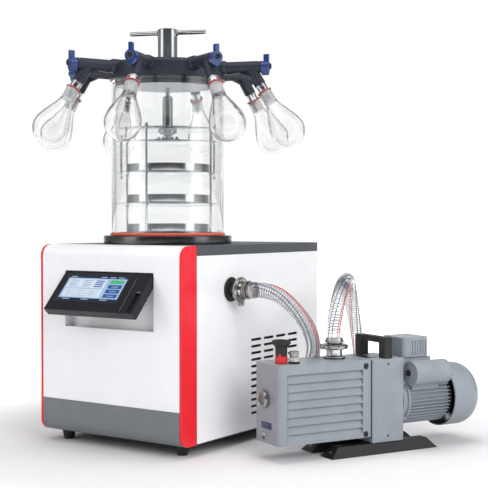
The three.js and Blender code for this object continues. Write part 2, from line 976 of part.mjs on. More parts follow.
const topShelf = flangeTop + topShelfRise;
const shelfHeights = [flangeTop + lowShelfRise, flangeTop + middleShelfRise, topShelf];
const rackTopHeight = chamberTop - rackHeadroom;
const pressHeight = rackTopHeight - pressDrop;
const screwTop = rackTopHeight + screwRise;
const screwShoulder = rackTopHeight - screwShoulderDrop;
const screwBoreFloor = rackTopHeight - screwBoreDrop;
const handleShaftEnd = rackTopHeight + handleShaftRise;

function discShape(holes) {
  const shape = new THREE.Shape(circle(0, 0, rackRadius, largeSides).getPoints());
  for (const angle of holes)
    shape.holes.push(circle(...onCircle(rodCircle, angle), rodHoleRadius, rodSides));
  return shape;
}

const rodHoleRadius = rodRadius + 2 * runningFit;

// A thin shelf that rests on the rods' nuts. The top one also lets the press guides through.
function shelf(height) {
  const isTop = height === topShelf;
  const shape = discShape(isTop ? [...rodAngles, ...guideAngles] : rodAngles);
  return raised(shape, height, height + rackPlate);
}

function uprights(angles, radius, bottom, top) {
  const upright = (angle) => rod(radius, bottom, top, hexagon).translate(...onCircle(rodCircle, angle), 0);
  return angles.map(upright);
}

// Three rods that carry the shelves on nuts, and the bridge plate with the feed nut under it.
function rackFrame() {
  const plate = discShape([]);
  const bore = boreRadius(screwRadius, shaftSides);
  plate.holes.push(circle(0, 0, bore, shaftSides));
  const nutBottom = rackTopHeight - feedNutHeight;
  const rodBottom = flangeTop + fit;
  const plateTop = rackTopHeight + rackPlate;
  const rodTop = plateTop + rackNutHeight + rodTip;
  const nuts = shelfHeights.map((height) => height - fit - rackNutHeight);
  return join(
    raised(plate, rackTopHeight, plateTop),
    ring(bore, feedNutRadius, nutBottom, rackTopHeight + rackPlate / 2, shaftSides),
    ...uprights(rodAngles, rodRadius, rodBottom, rodTop),
    ...uprights(rodAngles, rackNutRadius, plateTop - rackPlate / 2, plateTop + rackNutHeight),
    ...nuts.flatMap((bottom) => uprights(rodAngles, rackNutRadius, bottom, bottom + rackNutHeight)),
  );
}

function tray(height) {
  const bottom = height + rackPlate + fit;
  const top = bottom + trayHeight;
  return turned(
    [
      [0, bottom],
      [trayRadius, bottom],
      [trayRadius, top],
      [trayRadius - trayWall, top],
      [trayRadius - trayWall, bottom + trayWall],
      [0, bottom + trayWall],
    ],
    traySides,
  );
}

// The plate that presses the stoppers, with the cup for the screw's end and two guide rods.
function pressPlate() {
  const top = pressHeight + rackPlate;
  const cupTop = pressHeight + pressFootHeight;
  const cupFloor = pressHeight + pressFootFloor;
  const guideBottom = topShelf - guideTail;
  const guideNut = topShelf - rackNutHeight - guideNutGap;
  return cut(
    join(
      raised(discShape(rodAngles), pressHeight, top),
      rod(pressFootRadius, pressHeight + rackPlate / 2, cupTop, shaftSides),
      ...uprights(guideAngles, rodRadius, guideBottom, top + rodTip),
      ...uprights(guideAngles, rackNutRadius, guideNut - rackNutHeight, guideNut),
      ...uprights(guideAngles, rackNutRadius, top - rackPlate / 2, top + rackNutHeight),
    ),
    rod(boreRadius(screwNeckRadius, shaftSides), cupFloor, cupTop + 1, shaftSides),
  );
}

// The hollow feed screw: its bore takes the handle's shaft, and its neck stands in the press plate's cup.
function feedScrew() {
  const neckBottom = pressHeight + pressFootFloor + fit;
  const bore = boreRadius(handleShaftRadius, shaftSides);
  return turned(
    [
      [0, neckBottom],
      [screwNeckRadius, neckBottom],
      [screwNeckRadius, screwShoulder],
      [screwRadius, screwShoulder],
      [screwRadius, screwTop],
      [bore, screwTop],
      [bore, screwBoreFloor],
      [0, screwBoreFloor],
    ],
    shaftSides,
  );
}

// The tee handle: tube, cross bar and the shaft that turns the feed screw.
function teeHandle() {
  const bottom = lidTop + fit;
  const top = bottom + handleTubeHeight;
  const column = turned(
    [
      [0, handleShaftEnd],
      [handleShaftRadius, handleShaftEnd],
      [handleShaftRadius, bottom],
      [handleTubeRadius, bottom],
      [handleTubeRadius, top - turnedEdge],
      [handleTubeRadius - turnedEdge, top],
      [0, top],
    ],
    shaftSides,
  );
  const half = handleBarLength / 2;
  const bar = rod(handleBarRadius, -half, half, shaftSides)
    .rotateY(quarter)
    .rotateZ(radians(handleBarAngle))
    .translate(0, 0, top - handleBarDrop);
  return join(column, bar);
}

// ---------------------------------------------------------------- vacuum pump

const blockStart = oilBoxLength + fit;
const motorStart = blockStart + blockLength + fit;
const pumpMiddle = oilBoxWidth / 2;
const finStart = motorStart + motorAdapter;
const finEnd = finStart + motorFinLength;
const coverStart = finEnd + coverGap;
const pedestalHeight = pumpTop - pedestalDrop;

// The inlet's flange stands on the oil box as a short turned neck.
function inletNeck() {
  const top = pumpTop + inletHeight;
  const neck = turned(
    [
      [0, pumpTop - 1],
      [inletFlangeRadius, pumpTop - 1],
      [inletFlangeRadius, pumpTop + inletRimHeight],
      [inletNeckRadius, pumpTop + inletRimHeight + 1],
      [inletNeckRadius, top - inletRimHeight - 1],
      [inletFlangeRadius, top - inletRimHeight],
      [inletFlangeRadius, top],
      [0, top],
    ],
    shaftSides,
  );
  return neck.translate(inletPlace[0], inletPlace[1], 0);
}

// The ribbed oil box, with its side ribs left standing between cut grooves.
function oilBox() {
  const tools = [];
  for (let i = 0; i < ribCount; i++) {
    const bottom = ribBottom + i * ribPitch;
    const height = [bottom, bottom + ribGroove];
    tools.push(block([ribStart, ribEnd], [-1, ribDepth], height));
    tools.push(block([ribStart, ribEnd], [oilBoxWidth - ribDepth, oilBoxWidth + 1], height));
  }
  const bore = rod(inletBoreRadius, pumpTop - inletBoreDepth, pumpTop + inletHeight + 1, shaftSides);
  tools.push(bore.translate(inletPlace[0], inletPlace[1], 0));
  const length = [0, oilBoxLength];
  const box = roundedBox(length, [0, oilBoxWidth], [oilBoxBottom, pumpTop], oilBoxCorner, pumpBevel);
  return cut(join(box, inletNeck()), ...tools);
}

function pumpBlock() {
  const overhang = (blockWidth - oilBoxWidth) / 2;
  const length = [blockStart, blockStart + blockLength];
  const width = [-overhang, oilBoxWidth + overhang];
  return roundedBox(length, width, [railHeight + fit, pumpTop], blockCorner, pumpBevel);
}

// One rail: a flat-topped bar with sloping flanks and ends.
function rail(middle) {
  const flank = (railBottomWidth - railTopWidth) / 2;
  const section = outline([
    [middle - railBottomWidth / 2, 0],
    [middle + railBottomWidth / 2, 0],
    [middle + railBottomWidth / 2 - flank, railHeight],
    [middle - railBottomWidth / 2 + flank, railHeight],
  ]);
  const bar = drawnAlongX(section, railStart, railStart + railLength);
  const deep = railBottomWidth;
  const wedge = outline([
    [railStart - 1, 0],
    [railStart, 0],
    [railStart + railEndSlope, railHeight],
    [railStart + railEndSlope, railHeight + 1],
    [railStart - 1, railHeight + 1],
  ]);
  const frontEnd = drawnAlongY(wedge, middle - deep, middle + deep);
  const rearEnd = frontEnd.clone().rotateZ(Math.PI).translate(2 * railStart + railLength, 2 * middle, 0);
  return cut(bar, frontEnd, rearEnd);
}

function pumpBase() {
  const near = pumpMiddle - railSpacing / 2;
  const far = pumpMiddle + railSpacing / 2;
  const bridgeHeight = [railHeight - 2 * crossPlate, railHeight - crossPlate];
  const bridge = block([blockStart, blockStart + blockLength], [near, far], bridgeHeight);
  return join(rail(near), rail(far), bridge);
}

// A square-cut grip across the block.
function pumpGrip() {
  const half = blockWidth / 2;
  const hand = half - gripLegWidth;
  const base = pumpTop + fit;
  const top = base + pumpGripHeight;
  const under = top - gripBarHeight;
  const shape = outline([
    [-half, base],
    [-hand, base],
    [-hand, under],
    [hand, under],
    [hand, base],
    [half, base],
    [half, top - gripChamfer],
    [half - gripChamfer, top],
    [gripChamfer - half, top],
    [-half, top - gripChamfer],
  ]);
  const middle = blockStart + blockLength / 2;
  const grip = drawnAlongX(shape, middle - pumpGripDepth / 2, middle + pumpGripDepth / 2);
  return grip.translate(0, pumpMiddle, 0);
}

function onMotorAxis(geometry) {
  return geometry.rotateY(quarter).translate(0, pumpMiddle, motorHeight);
}

const capacitorCentre = motorFinRadius + fit + capacitorRadius;

// The finned frame: a star section drawn out along the motor, in y and z about its axis.
function finSection() {
  const points = [];
  const step = 360 / motorFins;
  for (let fin = 0; fin < motorFins; fin++) {
    const at = (fin + 0.5) * step;
    points.push(onCircle(motorCoreRadius, at - step * 0.3), onCircle(motorFinRadius, at - step * 0.16));
    points.push(onCircle(motorFinRadius, at + step * 0.16), onCircle(motorCoreRadius, at + step * 0.3));
  }
  return outline(points);
}

function pumpMotor() {
  const adapter = onMotorAxis(rod(motorFinRadius - pumpBevel, motorStart, finStart + 1, shaftSides));
  const fins = drawnAlongX(finSection(), finStart, finEnd).translate(0, pumpMiddle, motorHeight);
  const length = [motorStart + terminalSetback, motorStart + terminalSetback + terminalLength];
  const half = terminalWidth / 2 - terminalBevel;
  const pedestal = block(length, [pumpMiddle - half, pumpMiddle + half], [motorHeight, pedestalHeight]);
  const lugReach = (coverRadius - coverWall) * Math.cos(Math.PI / coverSides) - fit;
  const lugLength = [finEnd - motorLugRoot, finEnd + motorLugLength];
  const lug = block([-lugReach, lugReach], [-motorLugWidth / 2, motorLugWidth / 2], lugLength);
  const lugs = [1, 3].map((eighth) => onMotorAxis(lug.clone().rotateZ((eighth * quarter) / 2)));
  const cradleDepth = motorFinRadius - motorCoreRadius + capacitorRadius / 2;
  const cradle = block(
    [capacitorFront + cradleInset, capacitorFront + capacitorLength - cradleInset],
    [motorCoreRadius - motorLugRoot, motorCoreRadius + cradleDepth],
    [-cradleHalfWidth, cradleHalfWidth],
  )
    .rotateX(radians(capacitorAngle - 90))
    .translate(0, pumpMiddle, motorHeight);
  return join(adapter, fins, pedestal, ...lugs, cradle, capacitor());
}

const capacitorFront = motorStart + capacitorSetback;

// The starting capacitor lies along the motor in its cradle.
function capacitor() {
  const [y, z] = onCircle(capacitorCentre, capacitorAngle);
  return rod(capacitorRadius, capacitorFront, capacitorFront + capacitorLength, shaftSides)
    .rotateY(quarter)
    .translate(0, pumpMiddle + y, motorHeight + z);
}

// A thin cap over the fan, open towards the motor, with air slots in its end.
function fanCover() {
  const end = coverStart + coverLength;
  const face = coverRadius - coverCrown;
  const inner = coverRadius - coverWall;
  const crownBend = (radius) => {
    const [out, along] = onCircle(radius, 45);
    return [face + out, end - coverCrown + along];
  };
  const shell = turned(
    [
      [0, end - coverWall],
      [face, end - coverWall],
      crownBend(coverCrown - coverWall),
      [inner, end - coverCrown],
      [inner, coverStart],
      [coverRadius, coverStart],
      [coverRadius, end - coverCrown],
      crownBend(coverCrown),
      [face, end],
      [0, end],
    ],
    coverSides,
  );
  const slots = [];
  const pitch = (2 * face) / (coverSlots + 1);
  for (let i = 1; i <= coverSlots; i++) {
    const y = i * pitch - face;
    const reach = Math.sqrt(face * face - y * y) * 0.9;
    slots.push(block([-reach, reach], [y - pitch / 4, y + pitch / 4], [end - coverWall - 2, end + 1]));
  }
  return onMotorAxis(cut(shell, ...slots));
}

const terminalEnd = motorStart + terminalSetback + terminalLength;
const switchPivot = [terminalEnd - switchInset, pedestalHeight + fit + switchRise];

// The ribbed terminal box, bored across its rear wall for the rocker.
function terminalBox() {
  const length = [motorStart + terminalSetback, terminalEnd];
  const near = pumpMiddle - terminalWidth / 2;
  const bottom = pedestalHeight + fit;
  const width = [near, near + terminalWidth];
  const box = roundedBox(length, width, [bottom, bottom + terminalHeight], terminalCorner, terminalBevel);
  const grooveHeight = [bottom + terminalBevel + 1, bottom + terminalHeight - 2 * terminalBevel];
  const grooves = [];
  for (let i = 0; i < terminalRibs; i++) {
    const start = terminalEnd - terminalRibMargin - i * terminalRibPitch;
    const groove = [start, start + terminalRibPitch / 2];
    grooves.push(block(groove, [near - 1, near + terminalRibDepth], grooveHeight));
  }
  const half = switchWidth / 2 + runningFit;
  const pocket = rod(boreRadius(switchRadius, shaftSides), pumpMiddle - half, pumpMiddle + half, shaftSides)
    .rotateX(-quarter)
    .translate(switchPivot[0], 0, switchPivot[1]);
  return cut(box, ...grooves, pocket);
}

// The rocker, about its pivot: a round back that stays in its pocket and a shallow ridge in front.
function switchRocker() {
  const wing = radians(switchWing);
  const front = switchRadius * Math.cos(wing);
  const shape = new THREE.Shape()
    .absarc(0, 0, switchRadius, wing, 2 * Math.PI - wing, false)
    .lineTo(front + switchRidge, 0);
  return drawnAlongY(shape, -switchWidth / 2, switchWidth / 2, 5);
}

function sightGlass() {
  const rim = sightGlassRadius - sightGlassRim;
  const face = sightGlassDepth - sightGlassRecess;
  const [y, z] = sightGlassPlace;
  return turned(
    [
      [0, fit],
      [sightGlassRadius, fit],
      [sightGlassRadius, face],
      [sightGlassRadius - sightGlassRim / 2, sightGlassDepth],
      [rim, sightGlassDepth],
      [rim - 1, face],
      [0, face],
    ],
    shaftSides,
  )
    .rotateY(-quarter)
    .translate(0, y, z);
}

function ballastKnob() {
  return turned(
    [
      [0, 0],
      [ballastRadius, 0],
      [ballastRadius, ballastCollar],
      [ballastWaist, ballastCollar + 1],
      [ballastWaist, ballastHeight - 3 * ballastRimHeight],
      [ballastCapRadius, ballastHeight - ballastRimHeight],
      [ballastCapRadius, ballastHeight],
      [0, ballastHeight],
    ],
    shaftSides,
  );
}

function oilPlug() {
  return join(rod(plugRadius, 0, plugHeight, hexagon), rod(plugRadius + 1, 0, plugWasher, shaftSides));
}

// A clamped hose end, turned about +Z: the clamp grips the fixed flange below 0, the ferrule ends it.
function coupling(fixedFlangeRadius, length) {
  const grip = fixedFlangeRadius + fit;
  const clamp = grip + clampWall;
  const ferruleStart = length - ferruleLength;
  const neckStart = Math.min(clampGrip + clampChamfer, ferruleStart - 1);
  const body = turned(
    [
      [couplingBore, 0],
      [grip, 0],
      [grip, -clampGrip],
      [clamp, -clampGrip],
      [clamp, clampGrip],
      [hoseRadius - 1, neckStart],
      [hoseRadius - 1, ferruleStart],
      [ferruleRadius, ferruleStart],
      [ferruleRadius, length],
      [couplingBore, length],
      [couplingBore, 0],
    ],
    shaftSides,
  );
  const ear = block([clamp - 1, clamp + clampEar], [-clampEar, clampEar], [1 - clampGrip, clampGrip - 1]);
  return join(body, ear);
}

function hose() {
  const inlet = pumpToWorld(inletPlace[0], inletPlace[1]);
  const top = pumpTop + inletHeight + inletCouplingLength + 2 * fit;
  const start = new THREE.Vector3(portEnd + portCouplingLength + 2 * fit, portSetback, portHeight);
  const points = [start, ...hosePoints.map((point) => new THREE.Vector3(...point))];
  points.push(inlet.clone().setZ(top + hoseRadius), inlet.clone().setZ(top));
  const path = new THREE.CatmullRomCurve3(points, false, "centripetal");
  const section = new THREE.Shape(circle(0, 0, hoseRadius, hoseSides).getPoints());
  return new THREE.ExtrudeGeometry(section, { steps: hoseSteps, extrudePath: path });
}

function pumpToWorld(x, y) {
  return new THREE.Vector3(x, y, 0)
    .applyAxisAngle(new THREE.Vector3(0, 0, 1), radians(pumpAngle))
    .add(new THREE.Vector3(...pumpPlace, 0));
}

function pump() {
  const paint = 0xa9b0b6;
  const rocker = part("pump_switch", switchRocker(), 0x17181a, 0.4);
  rocker.position.set(switchPivot[0], pumpMiddle, switchPivot[1]);
  rocker.rotation.y = radians(switchRest);
  const ballast = part("pump_ballast_knob", ballastKnob(), 0xc8202c, 0.45);
  ballast.position.set(...ballastPlace, pumpTop + fit);
  const plug = part("pump_oil_plug", oilPlug(), 0x8c8f92, 0.35, 0.8);
  plug.position.set(...plugPlace, pumpTop + fit);
  const clamped = coupling(inletFlangeRadius, inletCouplingLength);
  const inletJoint = part("inlet_coupling", clamped, 0xb9bcc0, 0.3, 0.9);
  inletJoint.position.set(...inletPlace, pumpTop + inletHeight + fit);
  const whole = group(
    part("pump_oil_box", oilBox(), paint, 0.5),
    part("pump_block", pumpBlock(), paint, 0.5),
    part("pump_base", pumpBase(), 0x1b1c1e, 0.5),
    part("pump_grip", pumpGrip(), 0x1b1c1e, 0.5),
    part("pump_motor", pumpMotor(), paint, 0.5),
    part("pump_fan_cover", fanCover(), paint, 0.5),
    part("pump_terminal_box", terminalBox(), paint, 0.5),
    part("pump_sight_glass", sightGlass(), 0xc9cdd0, 0.2, 0.6),
    rocker,
    ballast,
    plug,
    inletJoint,
  );
  whole.position.set(...pumpPlace, 0);
  whole.rotation.z = radians(pumpAngle);
  return whole;
}

// ---------------------------------------------------------------- assembly

function cabinet() {
  const white = 0xf1f2f3;
  const grey = 0x585c61;
  const red = 0xe62a34;
  return group(
    part("base_pan", basePan(), 0x2c2e31, 0.6),
    part("side_panel_left", leftSidePanel(), white, 0.45),
    part("side_panel_right", rightSidePanel(), white, 0.45),
    part("rear_panel", rearPanel(), white, 0.45),
    part("top_plate", topPlate(), grey, 0.45),
    part("front_panel", frontPanel(), white, 0.4),
    part("kick_panel", kickPanel(), 0x8b8f94, 0.4),
    part("trim_left", trim(-cabinetHalfWidth), red, 0.35),
    part("trim_right", trim(innerHalfWidth), red, 0.35),
    part("compressor", compressor(), 0x1a1b1d, 0.5),
    part("condenser", condenser(), 0xb2b5b8, 0.4, 0.8),
    part("cold_trap", coldTrap(), 0xc6c9cc, 0.25, 0.95),
    part("port_pipe", portPipe(), 0xc6c9cc, 0.25, 0.95),
    part("port_bush", portBush(), 0x1c1d1f, 0.6),
    screen(),
  );
}

function dryingChamber() {
  const acrylic = ring(chamberBore, chamberRadius, chamberBottom, chamberTop, largeSides);
  const steel = 0xc9ccd0;
  return group(
    part("base_flange", baseFlange(), 0x17181b, 0.2),
    part("base_gasket", chamberGasket(), 0xdc6a55, 0.6),
    part("chamber_cylinder", acrylic, 0xeef4f6, 0.05),
    part("manifold_lid", manifoldLid(), 0x30343a, 0.45),
    part("rack_frame", rackFrame(), steel, 0.25, 0.9),
    ...shelfHeights.map((height, i) => part(`shelf_${i + 1}`, shelf(height), steel, 0.25, 0.9)),
    ...shelfHeights.map((height, i) => part(`tray_${i + 1}`, tray(height), steel, 0.3, 0.9)),
    part("press_plate", pressPlate(), steel, 0.25, 0.9),
    part("feed_screw", feedScrew(), steel, 0.3, 0.9),
    part("tee_handle", teeHandle(), steel, 0.2, 0.95),
    ...Array.from({ length: valveCount }, (_, index) => valve(index)),
  );
}

function portCoupling() {
  const joint = part("port_coupling", coupling(portFlangeRadius, portCouplingLength), 0xb9bcc0, 0.3, 0.9);
  joint.position.set(portEnd + fit, portSetback, portHeight);
  joint.rotation.y = quarter;
  return joint;
}

const dryer = group(cabinet(), dryingChamber(), portCoupling(), pump());

// The origin is on the floor, under the middle of everything but the loose hose.
const extent = new THREE.Box3().setFromObject(dryer, true);
const middle = extent.getCenter(new THREE.Vector3());
dryer.add(part("hose", hose(), 0xdfe6e8, 0.15));
dryer.position.set(-middle.x, -middle.y, 0);

export default group(dryer);
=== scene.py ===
import math

import bmesh
import bpy
from mathutils import Matrix, Vector


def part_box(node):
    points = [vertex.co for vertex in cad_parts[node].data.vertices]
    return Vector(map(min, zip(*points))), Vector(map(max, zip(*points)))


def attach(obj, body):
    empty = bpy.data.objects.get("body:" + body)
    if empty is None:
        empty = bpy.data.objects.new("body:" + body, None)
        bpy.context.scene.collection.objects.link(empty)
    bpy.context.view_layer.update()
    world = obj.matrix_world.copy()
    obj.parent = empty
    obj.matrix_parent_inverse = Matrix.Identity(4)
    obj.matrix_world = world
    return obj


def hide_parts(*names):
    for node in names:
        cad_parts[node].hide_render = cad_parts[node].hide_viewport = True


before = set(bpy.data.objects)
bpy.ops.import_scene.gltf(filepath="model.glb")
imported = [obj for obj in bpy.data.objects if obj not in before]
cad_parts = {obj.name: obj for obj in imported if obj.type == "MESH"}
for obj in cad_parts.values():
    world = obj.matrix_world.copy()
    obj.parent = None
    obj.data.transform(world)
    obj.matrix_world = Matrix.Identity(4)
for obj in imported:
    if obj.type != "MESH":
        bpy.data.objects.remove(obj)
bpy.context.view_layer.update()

# ------------------------------------------------------------------ frames

MM = 0.001
BACK = 339  # rear of the cabinet, in the machine's own millimetres

low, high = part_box("top_plate")
SHIFT = Vector(((low.x + high.x) / 2, high.y - BACK * MM, 0))
HOME = Matrix.Translation(SHIFT) @ Matrix.Scale(MM, 4)


def turn(degrees, axis):
    return Matrix.Rotation(math.radians(degrees), 4, axis)


def move(x=0.0, y=0.0, z=0.0):
    return Matrix.Translation((x, y, z))


SCREEN = move(0, -204, 379) @ turn(-42, "X")
PORT = move(0, -33, 345) @ turn(90, "Y")
PUMP = move(385, -129, 0) @ turn(63, "Z")
MOTOR = PUMP @ move(0, 50, 105) @ turn(90, "Y")
BRANCH = move(195) @ turn(180 - 31.5, "Y")  # the slanted branch, in its arm's frame
ARMS = [turn(-25.9 + 45 * k, "Z") @ move(z=840.6) for k in range(8)]

# ------------------------------------------------------------------ outlines


def softened(points, steps=5, closed=False):
    """The outline, with an arc at each point that carries a third number, the arc's radius."""
    out = []
    count = len(points)
    for i, point in enumerate(points):
        here = Vector(point[:2])
        half = math.pi
        if len(point) > 2 and point[2] > 0 and (closed or 0 < i < count - 1):
            before = Vector(points[i - 1][:2]) - here
            after = Vector(points[(i + 1) % count][:2]) - here
            half = before.angle(after) / 2
        if half > math.pi / 2 - 0.02:
            out.append(tuple(here))
            continue
        reach = min(point[2] / math.tan(half), 0.499 * before.length, 0.499 * after.length)
        before, after = before.normalized(), after.normalized()
        middle = here + (before + after).normalized() * reach * math.tan(half) / math.sin(half)
        start = here + before * reach - middle
        sweep = start.angle_signed(here + after * reach - middle)
        for k in range(steps + 1):
            cos, sin = math.cos(-sweep * k / steps), math.sin(-sweep * k / steps)
            out.append((middle.x + start.x * cos - start.y * sin, middle.y + start.x * sin + start.y * cos))
    return out


def arc(x, y, radius, start, stop, steps):
    """Points on a circle, from one angle in degrees to another."""
    angles = [math.radians(start + (stop - start) * k / steps) for k in range(steps + 1)]
    return [(x + radius * math.cos(a), y + radius * math.sin(a)) for a in angles]


def rectangle(x0, x1, y0, y1, corner=0.0):
    return [(x0, y0, corner), (x1, y0, corner), (x1, y1, corner), (x0, y1, corner)]


def carried_frames(points):
    """Two directions across the path at each point, carried along it without twist."""
    tangents = []
    for k in range(len(points)):
        ahead, behind = points[min(k + 1, len(points) - 1)], points[max(k - 1, 0)]
        tangents.append((ahead - behind).normalized())
    side = tangents[0].orthogonal().normalized()
    frames = []
    for k, tangent in enumerate(tangents):
        if k:
            side = tangents[k - 1].rotation_difference(tangent) @ side
        side = (side - tangent * side.dot(tangent)).normalized()
        frames.append((side, tangent.cross(side).normalized()))
    return frames


# ------------------------------------------------------------------ geometry


class Form:
    """Geometry in the millimetres of one local frame, gathered into one mesh."""

    def __init__(self, *paints):
        self.mesh = bmesh.new()
        self.paints = paints
        self.paint = 0

    def mark(self, paint):
        """What is added from here on takes this paint."""
        self.paint = paint
        return self

    def add(self, verts, faces, place=None):
        made = [self.mesh.verts.new((place or Matrix()) @ Vector(v)) for v in verts]
        for face in faces:
            self.mesh.faces.new([made[i] for i in face]).material_index = self.paint
        return self

    def lathe(self, profile, sides=72, place=None, closed=False, steps=5):
        """The (radius, height) profile, softened and turned about local Z."""
        verts, faces, rings = [], [], []
        for radius, height in softened(profile, steps, closed):
            spots = 1 if radius < 1e-6 else sides
            rings.append(range(len(verts), len(verts) + spots))
            for k in range(spots):
                angle = 2 * math.pi * k / sides
                verts.append((radius * math.cos(angle), radius * math.sin(angle), height))
        for a, b in zip(rings, rings[1:] + rings[:closed]):
            for k in range(sides if len(a) + len(b) > 2 else 0):
                n = (k + 1) % sides
                if len(a) == 1:
                    faces.append((a[0], b[n], b[k]))
                elif len(b) == 1:
                    faces.append((a[k], a[n], b[0]))
                else:
                    faces.append((a[k], a[n], b[n], b[k]))
        return self.add(verts, faces, place)

    def ring(self, profile, sides=72, place=None, steps=5):
        """A closed profile, turned about local Z."""
        return self.lathe(profile, sides, place, True, steps)

    def loft(self, rings, place=None):
        """A closed body through rings of as many points each."""
        count, total = len(rings[0]), len(rings) * len(rings[0])
        faces = [tuple(range(count))[::-1], tuple(range(total - count, total))]
        for first in range(0, total - count, count):
            for k in range(count):
                n = (k + 1) % count
                faces.append((first + k, first + n, first + count + n, first + count + k))
        return self.add([p for ring in rings for p in ring], faces, place)

    def prism(self, outline, start, stop, axis="Z", place=None, steps=5):
        """The softened outline drawn out along an axis: (y, z) along X, (x, z) along Y, (x, y) along Z."""
        slot = "XYZ".index(axis)
        outline = softened(outline, steps, True)
        return self.loft([[(*p[:slot], at, *p[slot:]) for p in outline] for at in (start, stop)], place)

    def tube(self, points, radius, sides):
        """A round bar swept along points, with a frame that doesn't twist."""
        points = [Vector(p) for p in points]
        angles = [2 * math.pi * s / sides for s in range(sides)]
        return self.loft([
            [point + side * (radius * math.cos(a)) + up * (radius * math.sin(a)) for a in angles]
            for point, (side, up) in zip(points, carried_frames(points))
        ])

    def slab(self, x, y, z, soft=1.0, steps=2, place=None):
        """A block with rounded edges."""
        made = bmesh.new()
        bmesh.ops.create_cube(made, size=1.0)
        for v in made.verts:
            v.co = [ends[int(at > 0)] for ends, at in zip((x, y, z), v.co)]
        bmesh.ops.bevel(made, geom=list(made.edges), offset=soft, segments=steps, profile=0.5,
            affect="EDGES")
        return self.take(made, place)

    def take(self, other, place=None):
        """Another bmesh, copied in under the present paint."""
        other.verts.index_update()
        verts, faces = [v.co.copy() for v in other.verts], [[v.index for v in f.verts] for f in other.faces]
        other.free()
        return self.add(verts, faces, place)

    def rod(self, radius, start, stop, sides=32, edge=0.4, place=None):
        profile = [(0, start), (radius, start, edge), (radius, stop, edge), (0, stop)]
        return self.lathe(profile, sides, place, steps=3)

    def hexagon(self, radius, start, stop, place=None, edge=0.4):
        """A hexagon prism with its corners turned off at both ends."""
        flat = radius * math.cos(math.pi / 6) - edge
        rings = [(flat, start), (radius, start + edge), (radius, stop - edge), (flat, stop)]
        return self.lathe([(0, start), *rings, (0, stop)], 6, place)

    def bolt(self, place, radius=3.4, height=3.0):
        """A socket cap screw's head, seen from its end."""
        foot = height - 1.4
        return self.lathe([(0, -0.4), (radius, -0.4), (radius, height, 0.6), (radius * 0.55, height),
                           (radius * 0.5, foot), (0, foot)], 20, place)

    def solid(self, name, local=None):
        """The gathered form as an object of the scene."""
        self.mesh.transform(HOME @ (local or Matrix()))
        bmesh.ops.recalc_face_normals(self.mesh, faces=list(self.mesh.faces))
        data = bpy.data.meshes.new(name)
        self.mesh.to_mesh(data)
        self.mesh.free()
        for material in self.paints:
            data.materials.append(material)
        return placed(name, data)

    def piece(self, name, slot, node=None, sharp=32, local=None, body="cabinet", bevel=0.0):
        """The form as a piece that rides on a body and may stand in for a CAD node."""
        made = self.solid(name, local)
        smooth(made.data, sharp)
        if bevel:
            round_edges(made, bevel)
        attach(made, body)
        if node:
            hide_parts(node)
        return made


def placed(name, data):
    made = bpy.data.objects.new(name, data)
    bpy.context.scene.collection.objects.link(made)
    return made


def smooth(data, sharp):
    """Smooth shading, but for the edges sharper than an angle in degrees."""
    data.polygons.foreach_set("use_smooth", [True] * len(data.polygons))
    data.set_sharp_from_angle(angle=math.radians(sharp))


def round_edges(made, width, segments=2, angle=30):
    """A bevel on the sharp edges, in millimetres."""
    bevel = made.modifiers.new("edges", "BEVEL")
    bevel.width = width * MM
    bevel.segments = segments
    bevel.limit_method = "ANGLE"
    bevel.angle_limit = math.radians(angle)
    bevel.harden_normals = True


def carve(made, form, local):
    """Cuts the form out of a piece and keeps the result as the piece's mesh."""
    tool = form.solid("tool", local)
    step = made.modifiers.new("cut", "BOOLEAN")
    step.operation, step.solver, step.use_self, step.object = "DIFFERENCE", "EXACT", True, tool
    bpy.context.view_layer.update()
    result = bpy.data.meshes.new_from_object(made.evaluated_get(bpy.context.evaluated_depsgraph_get()))
    made.modifiers.clear()
    made.data = result
    smooth(result, 32)
    bpy.data.objects.remove(tool)


# ------------------------------------------------------------------ materials

SOCKETS = {"spec": "Specular IOR Level", "coat": "Coat Weight", "coat_rough": "Coat Roughness",
           "clear": "Transmission Weight", "ior": "IOR", "under": "Subsurface Weight"}


def linear(rgb, share=1.0):
    """A colour written as 0 to 255, times a share, in linear light."""
    values = [min(255, c * share) / 255 for c in rgb]
    return (*[v / 12.92 if v <= 0.04045 else ((v + 0.055) / 1.055) ** 2.4 for v in values], 1.0)


def node(tree, kind, **values):
    """A new shader node, with the plain values of its inputs."""
    made = tree.nodes.new("ShaderNode" + kind)
    for socket, value in values.items():
        made.inputs[socket.replace("_", " ")].default_value = value
    return made


def worked(tree, operation, a, b=None, kind="Math"):
    """The value that a math node makes of one socket and of another, or of a plain number."""
    made = node(tree, kind)
    made.operation = operation
    tree.links.new(a, made.inputs[0])
    if isinstance(b, bpy.types.NodeSocket):
        tree.links.new(b, made.inputs[1])
    elif b:
        made.inputs[1].default_value = b
    return made.outputs["Value"]


def ranged(tree, value, kind="LINEAR", **limits):
    """The value, taken from one range to another."""
    made = node(tree, "MapRange", **limits)
    made.interpolation_type = kind
    tree.links.new(value, made.inputs["Value"])
    return made.outputs["Result"]


def rays(tree, *kinds):
    """1 for rays of the given kinds, and 0 for the light that falls on the object."""
    path = node(tree, "LightPath")
    total = path.outputs[kinds[0]]
    for kind in kinds[1:]:
        total = worked(tree, "MAXIMUM", total, path.outputs[kind])
    return total


